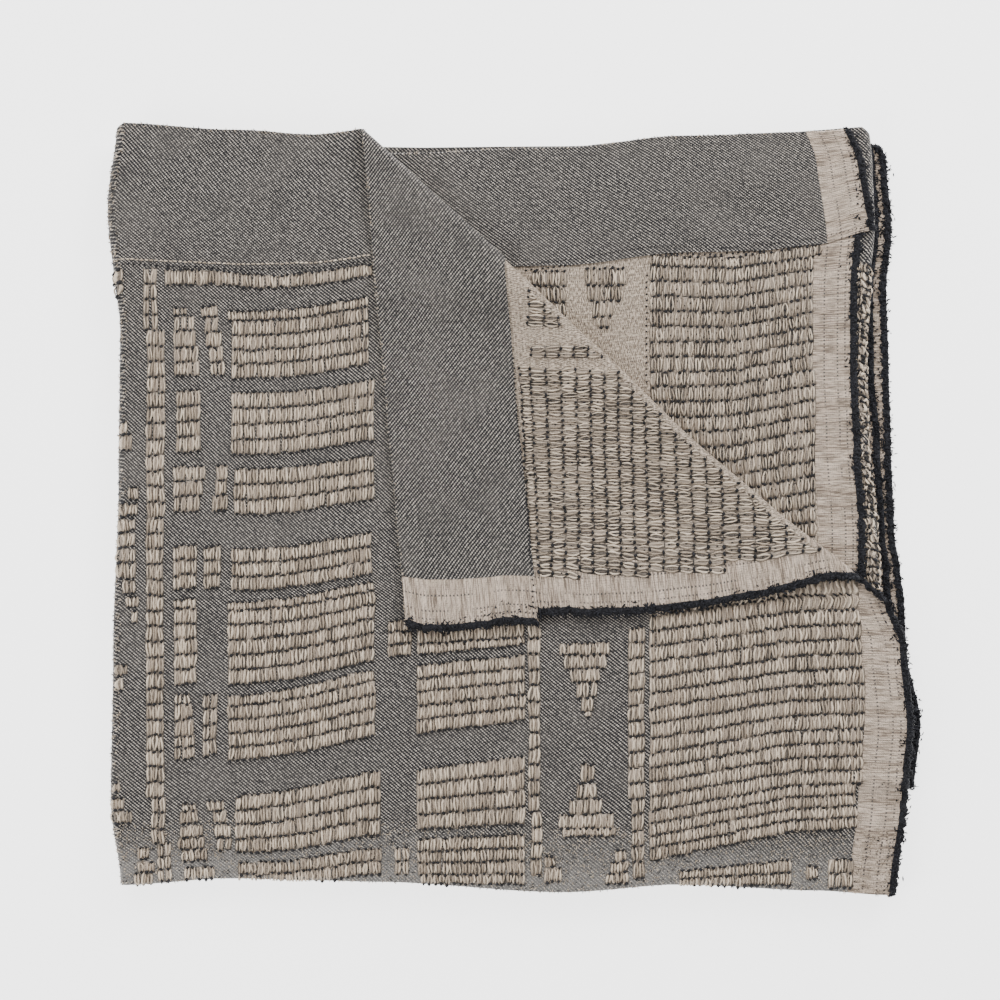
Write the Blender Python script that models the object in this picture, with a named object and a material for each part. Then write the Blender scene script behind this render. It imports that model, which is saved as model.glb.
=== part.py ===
"""A folded woven cotton throw with a mud-cloth style pattern.

The cloth is one piece, with a hem turned at each end, and a black edging runs along each selvedge.
Flat, it is a thin slab measured "across" from the first selvedge and "along" from its middle.
Cuts are made where it bends, and then each point is carried through the folds in their order:
the hems are turned onto the reverse, the cloth is halved with its reverse inside, the double cloth
is laid back and forth in four panels, and the far corner of the topmost leaf is turned back.
"""

import math

import bmesh
import bpy
from mathutils import Vector

MM = 0.001

# The flat cloth
SHEET = 1.0 * MM
PANEL = 490 * MM
PANELS = 4
FOLD_WIDTH = 7 * MM
LEAF = 484 * MM
HEM_DEPTH = 82 * MM
EDGING_WIDTH = 4.2 * MM
EDGING_GAP = 0.3 * MM

# How the layers lie: floats make the patterned body thicker than the plain hems
BODY_PITCH = 2.4 * MM
HEM_PITCH = 1.3 * MM
HEM_FADE = 45 * MM
SWELL = 0.05

# The corner that is turned back, folded along a slanting line through these two places
TURN_TOP = (-100 * MM, 237 * MM)
TURN_SIDE = (216 * MM, -45.5 * MM)
TURN_RADIUS = 3.2 * MM
TURN_SETTLE = 45 * MM

# How finely the slab is cut
TOP_PANEL_CELLS = 12
PANEL_CELLS = 5
LEAF_CELLS = 12
HEM_CELLS = 3
FOLD_CELLS = 4
TINY = 1e-7

# Where the whole packet is moved so that its box stands centred on the origin
CENTRE_SHIFT = (0.87 * MM, 0.81 * MM)

# Selvedges and right-hand folds: sideways place against height on the packet, in mm.
# Columns: height, top leaf's selvedge, its under leaf's, the right fold, the lowest panel's
# upper leaf, the lowest leaf of all.
RIGHT_SIDE = (
    (248, 213.5, 209.5, 221.0, 222.0, 224.0),
    (222, 213.5, 215.5, 223.5, 226.5, 234.5),
    (180, 213.5, 217.0, 225.0, 229.0, 237.5),
    (140, 213.5, 214.0, 221.5, 225.5, 234.5),
    (90, 214.0, 214.0, 220.5, 226.0, 236.0),
    (40, 214.5, 216.0, 222.0, 230.0, 237.5),
    (-15, 215.5, 219.5, 227.5, 233.0, 239.5),
    (-42, 218.5, 219.0, 229.0, 236.0, 243.5),
    (-60, 236.0, 219.5, 230.0, 237.0, 246.0),
    (-88, 245.5, 221.0, 231.0, 238.0, 247.0),
    (-140, 250.0, 226.0, 232.0, 241.0, 256.5),
    (-180, 246.5, 232.0, 233.0, 244.0, 252.5),
    (-250, 239.0, 238.0, 234.0, 248.0, 248.0),
)

# Left-hand folds: height, the upper fold, the lower fold, in mm
LEFT_SIDE = (
    (246, -251.5, -246.0),
    (193, -257.5, -252.0),
    (118, -250.5, -247.0),
    (15, -251.5, -246.0),
    (-91, -255.0, -250.0),
    (-187, -256.5, -251.0),
    (-243, -250.0, -245.0),
)

# Ends of the leaves: sideways place, then the height of the top leaf's turned end, of the leaf
# below it, of the lower panels' ends, of the upper panels' bottom fold, of the lower panels', in mm
ENDS = (
    (-256, 245.5, 238.0, 240.0, -240.0, -234.0),
    (-180, 241.0, 234.0, 238.0, -235.5, -230.0),
    (-130, 238.0, 228.0, 233.0, -237.0, -230.0),
    (-90, 242.0, 226.0, 230.5, -238.0, -229.0),
    (30, 245.0, 230.0, 231.5, -244.5, -226.0),
    (107, 247.0, 237.5, 234.0, -239.5, -216.0),
    (190, 248.5, 240.0, 236.0, -243.5, -200.0),
    (240, 249.5, 245.0, 233.0, -246.5, -180.0),
)

# How far a turned hem's inner edge strays past the selvedge of the topmost panel
HEM_STRAY = 9 * MM


def blend(low, high, share):
    return low + (high - low) * share


def ease(share):
    """0 to 1 with level ends."""
    share = min(max(share, 0.0), 1.0)
    return share * share * (3.0 - 2.0 * share)


def read_table(table, place, column):
    """A column of a table in mm, eased between its rows. The first column runs either way."""
    place = place / MM
    rows = table if table[0][0] < table[-1][0] else table[::-1]
    if place <= rows[0][0]:
        return rows[0][column] * MM
    for low, high in zip(rows, rows[1:]):
        if place <= high[0]:
            share = ease((place - low[0]) / (high[0] - low[0]))
            return blend(low[column], high[column], share) * MM
    return rows[-1][column] * MM


def stacking(distance):
    """Half the spread between the two leaves' middles, and the double cloth's thickness, at a
    distance from the bottom fold."""
    rise = ease((distance - (LEAF - HEM_DEPTH - HEM_FADE)) / HEM_FADE)
    pitch = blend(BODY_PITCH, HEM_PITCH, rise)
    double = 2.0 * (1.0 + rise) * pitch
    return double / 2.0 - pitch / 2.0, double


BOTTOM_RADIUS = BODY_PITCH / 2.0
BOTTOM_HALF_ARC = math.pi * BOTTOM_RADIUS / 2.0
HEM_RADIUS = HEM_PITCH / 2.0
HEM_ARC = math.pi * HEM_RADIUS
LEAF_START = BOTTOM_HALF_ARC
HEM_START = LEAF_START + LEAF
HEM_TURNED = HEM_START + HEM_ARC
HALF_LENGTH = HEM_TURNED + HEM_DEPTH
FULL_WIDTH = PANELS * PANEL + (PANELS - 1) * FOLD_WIDTH


def turn_hem(reach, offset):
    """The distance up the leaf, the offset from the leaf's middle and how far along the turned
    hem, of a point at a distance from the cloth's middle line. A dark-face offset is positive."""
    if reach <= HEM_START:
        return reach - LEAF_START, offset, 0.0
    if reach < HEM_TURNED:
        angle = (reach - HEM_START) / HEM_RADIUS
        radius = HEM_RADIUS + offset
        return (
            LEAF + radius * math.sin(angle),
            radius * math.cos(angle) - HEM_RADIUS,
            0.0,
        )
    return (
        LEAF - (reach - HEM_TURNED),
        -HEM_PITCH - offset,
        (reach - HEM_TURNED) / HEM_DEPTH,
    )


def halve(along, offset):
    """Folds the cloth at its middle. Returns the distance up from the bottom fold, the height in
    the double cloth, the top leaf's share (1 in the top leaf, 0 in the other) and the hem's share."""
    if abs(along) < LEAF_START:
        angle = along / BOTTOM_RADIUS
        radius = BOTTOM_RADIUS + offset
        up = -radius * math.cos(angle)
        return up, radius * math.sin(angle), 0.5 + 0.5 * math.sin(angle), 0.0
    up, offset, hem = turn_hem(abs(along), offset)
    height = stacking(up)[0] + offset
    if along > 0.0:
        return up, height, 1.0, hem
    return up, -height, 0.0, hem


def right_edge(panel, height, top_leaf, hem):
    """The sideways place of a panel's right end."""
    if panel in (1, 2):
        return read_table(RIGHT_SIDE, height, 3)
    upper, lower = ((1, 2), (5, 4))[panel // 3]
    edge = blend(
        read_table(RIGHT_SIDE, height, lower),
        read_table(RIGHT_SIDE, height, upper),
        top_leaf,
    )
    return edge + (HEM_STRAY * hem if panel == 0 else 0.0)


def left_edge(panel, height):
    return read_table(LEFT_SIDE, height, 1 if panel < 2 else 2)


def height_on_packet(panel, sideways, up, top_leaf):
    """The photo's up direction: where a distance up a leaf lies on the packet."""
    if panel == 0:
        top = blend(
            read_table(ENDS, sideways, 2), read_table(ENDS, sideways, 1), top_leaf
        )
    else:
        top = read_table(ENDS, sideways, 2 if panel == 1 else 3)
    bottom = read_table(ENDS, sideways, 5 if panel == 3 else 4)
    return blend(bottom, top, up / LEAF)


def place_in_zigzag(across):
    """The panel, and the share of its width or of the fold that follows it."""
    step = PANEL + FOLD_WIDTH
    panel = min(int(max(across + TINY, 0.0) / step), PANELS - 1)
    local = across - panel * step
    if panel < PANELS - 1 and local > PANEL + TINY:
        return panel, None, (local - PANEL) / FOLD_WIDTH
    return panel, local / PANEL, None


def outside_selvedge(across):
    """How far an edging's point lies past the cloth's own edge."""
    return max(-across, across - FULL_WIDTH, 0.0)


def plan_place(panel, share, up, top_leaf, hem, past):
    """Where a point of a panel lies in the view from above."""
    runs_left = panel % 2 == 0
    from_right = share if runs_left else 1.0 - share
    from_right = max(from_right, 0.0) if past else from_right
    sideways = blend(213 * MM, -252 * MM, from_right)
    for _ in range(3):
        height = height_on_packet(panel, sideways, up, top_leaf)
        right = right_edge(panel, height, top_leaf, hem)
        sideways = blend(right, left_edge(panel, height), from_right)
    return sideways + past, height


def zigzag_height(panel, up, height):
    """The height above the surface of a point of a flat panel."""
    spread, double = stacking(up)
    middle = (PANELS - 0.5 - panel) * double
    facing = 1.0 if panel % 2 == 0 else -1.0
    return middle + facing * height - (double / 2.0 - spread) + SHEET / 2.0


def fold_place(panel, share, up, height, top_leaf):
    """A point in the fold between a panel and the next one."""
    at_left = panel % 2 == 0
    spread, double = stacking(up)
    centre = (PANELS - 1 - panel) * double - (double / 2.0 - spread) + SHEET / 2.0
    radius = double / 2.0 + (height if at_left else -height)
    angle = math.pi * share
    start = plan_place(panel, 1.0, up, top_leaf, 0.0, 0.0)
    end = plan_place(panel + 1, 0.0, up, top_leaf, 0.0, 0.0)
    bulge = radius * math.sin(angle)
    sideways = blend(start[0], end[0], share) + (-bulge if at_left else bulge)
    return (
        sideways,
        blend(start[1], end[1], share),
        centre + radius * math.cos(angle),
    )


def swell(place):
    """Lets the packet rise and sink a little from place to place, and leaves its underside flat."""
    x, y, z = place
    wave = math.sin(x / 0.061 + 1.1) * math.sin(y / 0.083 - 0.6) + 0.5 * math.sin(
        (x + y) / 0.049
    )
    return Vector((x, y, z + SWELL * wave * max(z - SHEET, 0.0)))


def top_height(sideways, height):
    """The height of the top leaf's middle where it lies flat."""
    bottom = read_table(ENDS, sideways, 4)
    top = read_table(ENDS, sideways, 1)
    up = LEAF * (height - bottom) / (top - bottom)
    spread, double = stacking(up)
    return (PANELS - 1) * double + 2.0 * spread + SHEET / 2.0


def turn_axes():
    """A point on the slanting fold, and the direction from it towards the corner."""
    start = Vector(TURN_TOP)
    run = (Vector(TURN_SIDE) - start).normalized()
    return start, Vector((-run.y, run.x))


def turn_corner(laid):
    """Raises a point of the top leaf from its place in the view and its offset from the leaf's
    middle, and turns back what lies past the slanting fold."""
    sideways, height, offset = laid
    start, outward = turn_axes()
    past = (Vector((sideways, height)) - start).dot(outward)
    if past <= 0.0:
        return Vector((sideways, height, top_height(sideways, height) + offset))
    foot = Vector((sideways, height)) - past * outward
    angle = past / TURN_RADIUS
    if angle < math.pi:
        out = (TURN_RADIUS - offset) * math.sin(angle)
        lift = TURN_RADIUS - (TURN_RADIUS - offset) * math.cos(angle)
    else:
        beyond = past - math.pi * TURN_RADIUS
        out = -beyond
        lift = blend(2.0 * TURN_RADIUS, BODY_PITCH, ease(beyond / TURN_SETTLE)) - offset
    landed = foot + out * outward
    return Vector((landed.x, landed.y, top_height(landed.x, landed.y) + lift))


def in_top_leaf(across, along):
    return along > LEAF_START - TINY and across < PANEL + TINY


def lay(point):
    """Carries a point of the flat slab to its place, but for the top leaf, whose points are laid
    level and wait for turn_corner."""
    across, along, offset = point
    up, height, top_leaf, hem = halve(along, offset)
    panel, share, fold_share = place_in_zigzag(across)
    if fold_share is not None:
        return swell(fold_place(panel, fold_share, up, height, top_leaf))
    past = outside_selvedge(across)
    sideways, upward = plan_place(panel, share, up, top_leaf, hem, past)
    if in_top_leaf(across, along):
        return Vector((sideways, upward, height - stacking(up)[0]))
    return swell((sideways, upward, zigzag_height(panel, up, height)))


def even_lines(start, end, cells):
    return [blend(start, end, step / cells) for step in range(cells + 1)]


def lines_across():
    """Where the slab is cut along its length: at the panels' cells and through each fold."""
    lines = []
    for panel in range(PANELS):
        start = panel * (PANEL + FOLD_WIDTH)
        cells = TOP_PANEL_CELLS if panel == 0 else PANEL_CELLS
        lines += even_lines(start, start + PANEL, cells)
        lines += even_lines(start + PANEL, start + PANEL + FOLD_WIDTH, FOLD_CELLS)[1:-1]
    return [line for line in lines if TINY < line < FULL_WIDTH - TINY]


def lines_along():
    """Where the slab is cut across its width, the same on both sides of its middle."""
    fade_start = HEM_START - HEM_DEPTH - HEM_FADE
    half = even_lines(0.0, LEAF_START, FOLD_CELLS // 2)[1:]
    half += even_lines(LEAF_START, fade_start, LEAF_CELLS - 3)[1:]
    half += even_lines(fade_start, HEM_START - HEM_DEPTH, 3)[1:]
    half += even_lines(HEM_START - HEM_DEPTH, HEM_START, HEM_CELLS)[1:]
    half += even_lines(HEM_START, HEM_TURNED, FOLD_CELLS)[1:]
    half += even_lines(HEM_TURNED, HALF_LENGTH, HEM_CELLS)[1:-1]
    return [-line for line in half] + [0.0] + half


def cut(shape, faces, place, normal):
    """Cuts the given faces along a plane. Returns the faces with their new pieces."""
    edges = {edge for face in faces for edge in face.edges}
    points = {point for face in faces for point in face.verts}
    result = bmesh.ops.bisect_plane(
        shape,
        geom=list(faces) + list(edges) + list(points),
        dist=TINY,
        plane_co=place,
        plane_no=normal,
    )
    return [item for item in result["geom"] if isinstance(item, bmesh.types.BMFace)]


def flat_slab(start, end):
    """The flat cloth or edging between two distances across, cut where it will bend."""
    shape = bmesh.new()
    bmesh.ops.create_cube(shape, size=1.0)
    bmesh.ops.scale(
        shape, vec=(end - start, 2.0 * HALF_LENGTH, SHEET), verts=shape.verts
    )
    bmesh.ops.translate(shape, vec=((start + end) / 2.0, 0.0, 0.0), verts=shape.verts)
    for line in lines_across():
        if start < line < end:
            cut(shape, shape.faces[:], (line, 0.0, 0.0), (1.0, 0.0, 0.0))
    for line in lines_along():
        cut(shape, shape.faces[:], (0.0, line, 0.0), (0.0, 1.0, 0.0))
    return shape


def turn_lines():
    """Distances past the slanting fold at which the top leaf is cut."""
    roll = math.pi * TURN_RADIUS
    return even_lines(0.0, roll, FOLD_CELLS + 1) + even_lines(
        roll, roll + TURN_SETTLE, 3
    )[1:]


def fold_up(shape):
    """Folds a flat slab into its place in the packet."""
    top_faces = []
    for face in shape.faces:
        middle = face.calc_center_median()
        if in_top_leaf(middle.x, middle.y):
            top_faces.append(face)
    for point in shape.verts:
        point.co = lay(point.co)
    start, outward = turn_axes()
    for distance in turn_lines():
        place = start + distance * outward
        top_faces = cut(shape, top_faces, (*place, 0.0), (*outward, 0.0))
    for point in {point for face in top_faces for point in face.verts}:
        point.co = swell(turn_corner(point.co))
    # The slab's across runs against the view's sideways, which turned the faces in
    bmesh.ops.reverse_faces(shape, faces=shape.faces[:])
    bmesh.ops.triangulate(shape, faces=shape.faces[:])
    bmesh.ops.translate(shape, vec=(*CENTRE_SHIFT, 0.0), verts=shape.verts)


def fabric(name, colour, roughness):
    material = bpy.data.materials.new(name)
    material.use_nodes = True
    shader = material.node_tree.nodes["Principled BSDF"]
    shader.inputs["Base Color"].default_value = (*colour, 1.0)
    shader.inputs["Roughness"].default_value = roughness
    shader.inputs["Metallic"].default_value = 0.0
    return material


def add_folded(name, start, end, material, collection):
    """One solid: a slab between two distances across, folded into the packet."""
    shape = flat_slab(start, end)
    fold_up(shape)
    mesh = bpy.data.meshes.new(name)
    shape.to_mesh(mesh)
    shape.free()
    mesh.materials.append(material)
    mesh.shade_smooth()
    mesh.set_sharp_from_angle(angle=math.radians(40))
    thing = bpy.data.objects.new(name, mesh)
    collection.objects.link(thing)
    return thing


def main():
    for thing in list(bpy.data.objects):
        bpy.data.objects.remove(thing)
    collection = bpy.data.collections.new("folded_throw")
    bpy.context.scene.collection.children.link(collection)
    weave = fabric("grey_beige_weave", (0.27, 0.23, 0.19), 0.9)
    black = fabric("black_edging", (0.02, 0.02, 0.025), 0.95)
    add_folded("throw_cloth", 0.0, FULL_WIDTH, weave, collection)
    first = -EDGING_GAP - EDGING_WIDTH
    add_folded("edging_first", first, -EDGING_GAP, black, collection)
    second = FULL_WIDTH + EDGING_GAP
    add_folded("edging_second", second, second + EDGING_WIDTH, black, collection)


main()
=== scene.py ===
"""The folded mud-cloth style throw, dressed: its cloth, float rows, stitching, edgings and studio.

Everything is placed on the flat throw, "across" from its first selvedge and "along" from its
middle, and carried through the same folds as the model's solids.
"""

import math

import bmesh
import bpy
import numpy as np
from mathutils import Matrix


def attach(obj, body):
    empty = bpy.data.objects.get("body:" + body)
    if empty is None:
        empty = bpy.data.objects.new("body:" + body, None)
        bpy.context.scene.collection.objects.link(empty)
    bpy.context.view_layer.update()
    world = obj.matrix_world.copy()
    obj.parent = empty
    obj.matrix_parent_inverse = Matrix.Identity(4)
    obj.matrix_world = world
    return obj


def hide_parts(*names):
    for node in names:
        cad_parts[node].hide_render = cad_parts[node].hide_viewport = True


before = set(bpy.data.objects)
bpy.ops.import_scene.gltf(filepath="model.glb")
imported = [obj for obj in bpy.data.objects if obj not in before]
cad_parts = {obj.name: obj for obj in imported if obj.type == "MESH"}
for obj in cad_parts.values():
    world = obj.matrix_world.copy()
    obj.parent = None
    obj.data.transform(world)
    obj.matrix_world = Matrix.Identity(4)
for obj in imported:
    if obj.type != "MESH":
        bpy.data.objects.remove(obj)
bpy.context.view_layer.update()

MM = 0.001
TINY = 1e-7

# The flat cloth: the sheet's thickness, a panel between folds, a fold, a leaf from the bottom fold
# to its hem's edge, the depth of a hem and the plain strip beside a selvedge
SHEET = 1.0 * MM
PANEL = 490 * MM
PANELS = 4
FOLD_WIDTH = 7 * MM
LEAF = 484 * MM
HEM_DEPTH = 82 * MM
STRIP_WIDTH = 27 * MM

# How the layers lie: the pitch of the body's layers and of the hems', the stretch over which one
# becomes the other, how far the top panel's hems stray past its selvedge, and the body's height
BODY_PITCH = 2.4 * MM
HEM_PITCH = 1.3 * MM
HEM_FADE = 45 * MM
HEM_STRAY = 9 * MM
PACKET_HEIGHT = 19 * MM

# What brings the packet's middle to the origin
CENTRE_SHIFT = (0.87 * MM, 0.81 * MM)

# The slow swell of the packet: its share of the height, then its waves' lengths over two pi, and
# the phases of the first two
SWELL = 0.05
SWELL_SIDEWAYS = 61 * MM
SWELL_UPWARD = 83 * MM
SWELL_SLANTING = 49 * MM
SWELL_PHASES = (1.1, -0.6)

# The slanting fold: its two ends in the view, its radius, and how far from it the turned corner
# comes to rest on the leaf
TURN_TOP = (-100 * MM, 237 * MM)
TURN_SIDE = (216 * MM, -45.5 * MM)
TURN_RADIUS = 3.2 * MM
TURN_SETTLE = 45 * MM

# The panels' ends, roughly, where the search for a place in the view starts
ROUGH_RIGHT = 213 * MM
ROUGH_LEFT = -252 * MM
SEARCH_STEPS = 3

# Cells of the cloth's mesh: across the top panel, a lower panel and a fold, and along the bottom
# fold, a leaf, a hem's fold and a hem, then over the slanting fold and beside it
TOP_PANEL_CELLS = 76
LOWER_PANEL_CELLS = 10
FOLD_CELLS = 8
BOTTOM_CELLS = 4
LEAF_CELLS = 76
HEM_FOLD_CELLS = 8
HEM_CELLS = 12
TURN_CELLS = 10
SETTLE_CELLS = 8

# Selvedges and right-hand folds: sideways place against height on the packet, in mm.
# Columns: height, top leaf's selvedge, its under leaf's, the right fold, the lowest panel's
# upper leaf, the lowest leaf of all.
RIGHT_SIDE = (
    (248, 213.5, 209.5, 221.0, 222.0, 224.0),
    (222, 213.5, 215.5, 223.5, 226.5, 234.5),
    (180, 213.5, 217.0, 225.0, 229.0, 237.5),
    (140, 213.5, 214.0, 221.5, 225.5, 234.5),
    (90, 214.0, 214.0, 220.5, 226.0, 236.0),
    (40, 214.5, 216.0, 222.0, 230.0, 237.5),
    (-15, 215.5, 219.5, 227.5, 233.0, 239.5),
    (-42, 218.5, 219.0, 229.0, 236.0, 243.5),
    (-60, 236.0, 219.5, 230.0, 237.0, 246.0),
    (-88, 245.5, 221.0, 231.0, 238.0, 247.0),
    (-140, 250.0, 226.0, 232.0, 241.0, 256.5),
    (-180, 246.5, 232.0, 233.0, 244.0, 252.5),
    (-250, 239.0, 238.0, 234.0, 248.0, 248.0),
)

# Left-hand folds: height, the upper fold, the lower fold, in mm
LEFT_SIDE = (
    (246, -251.5, -246.0),
    (193, -257.5, -252.0),
    (118, -250.5, -247.0),
    (15, -251.5, -246.0),
    (-91, -255.0, -250.0),
    (-187, -256.5, -251.0),
    (-243, -250.0, -245.0),
)

# Ends of the leaves: sideways place, then the height of the top leaf's turned end, of the leaf
# below it, of the lower panels' ends, of the upper panels' bottom fold, of the lower panels', in mm
ENDS = (
    (-256, 245.5, 238.0, 240.0, -240.0, -234.0),
    (-180, 241.0, 234.0, 238.0, -235.5, -230.0),
    (-130, 238.0, 228.0, 233.0, -237.0, -230.0),
    (-90, 242.0, 226.0, 230.5, -238.0, -229.0),
    (30, 245.0, 230.0, 231.5, -244.5, -226.0),
    (107, 247.0, 237.5, 234.0, -239.5, -216.0),
    (190, 248.5, 240.0, 236.0, -243.5, -200.0),
    (240, 249.5, 245.0, 233.0, -246.5, -180.0),
)

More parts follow.
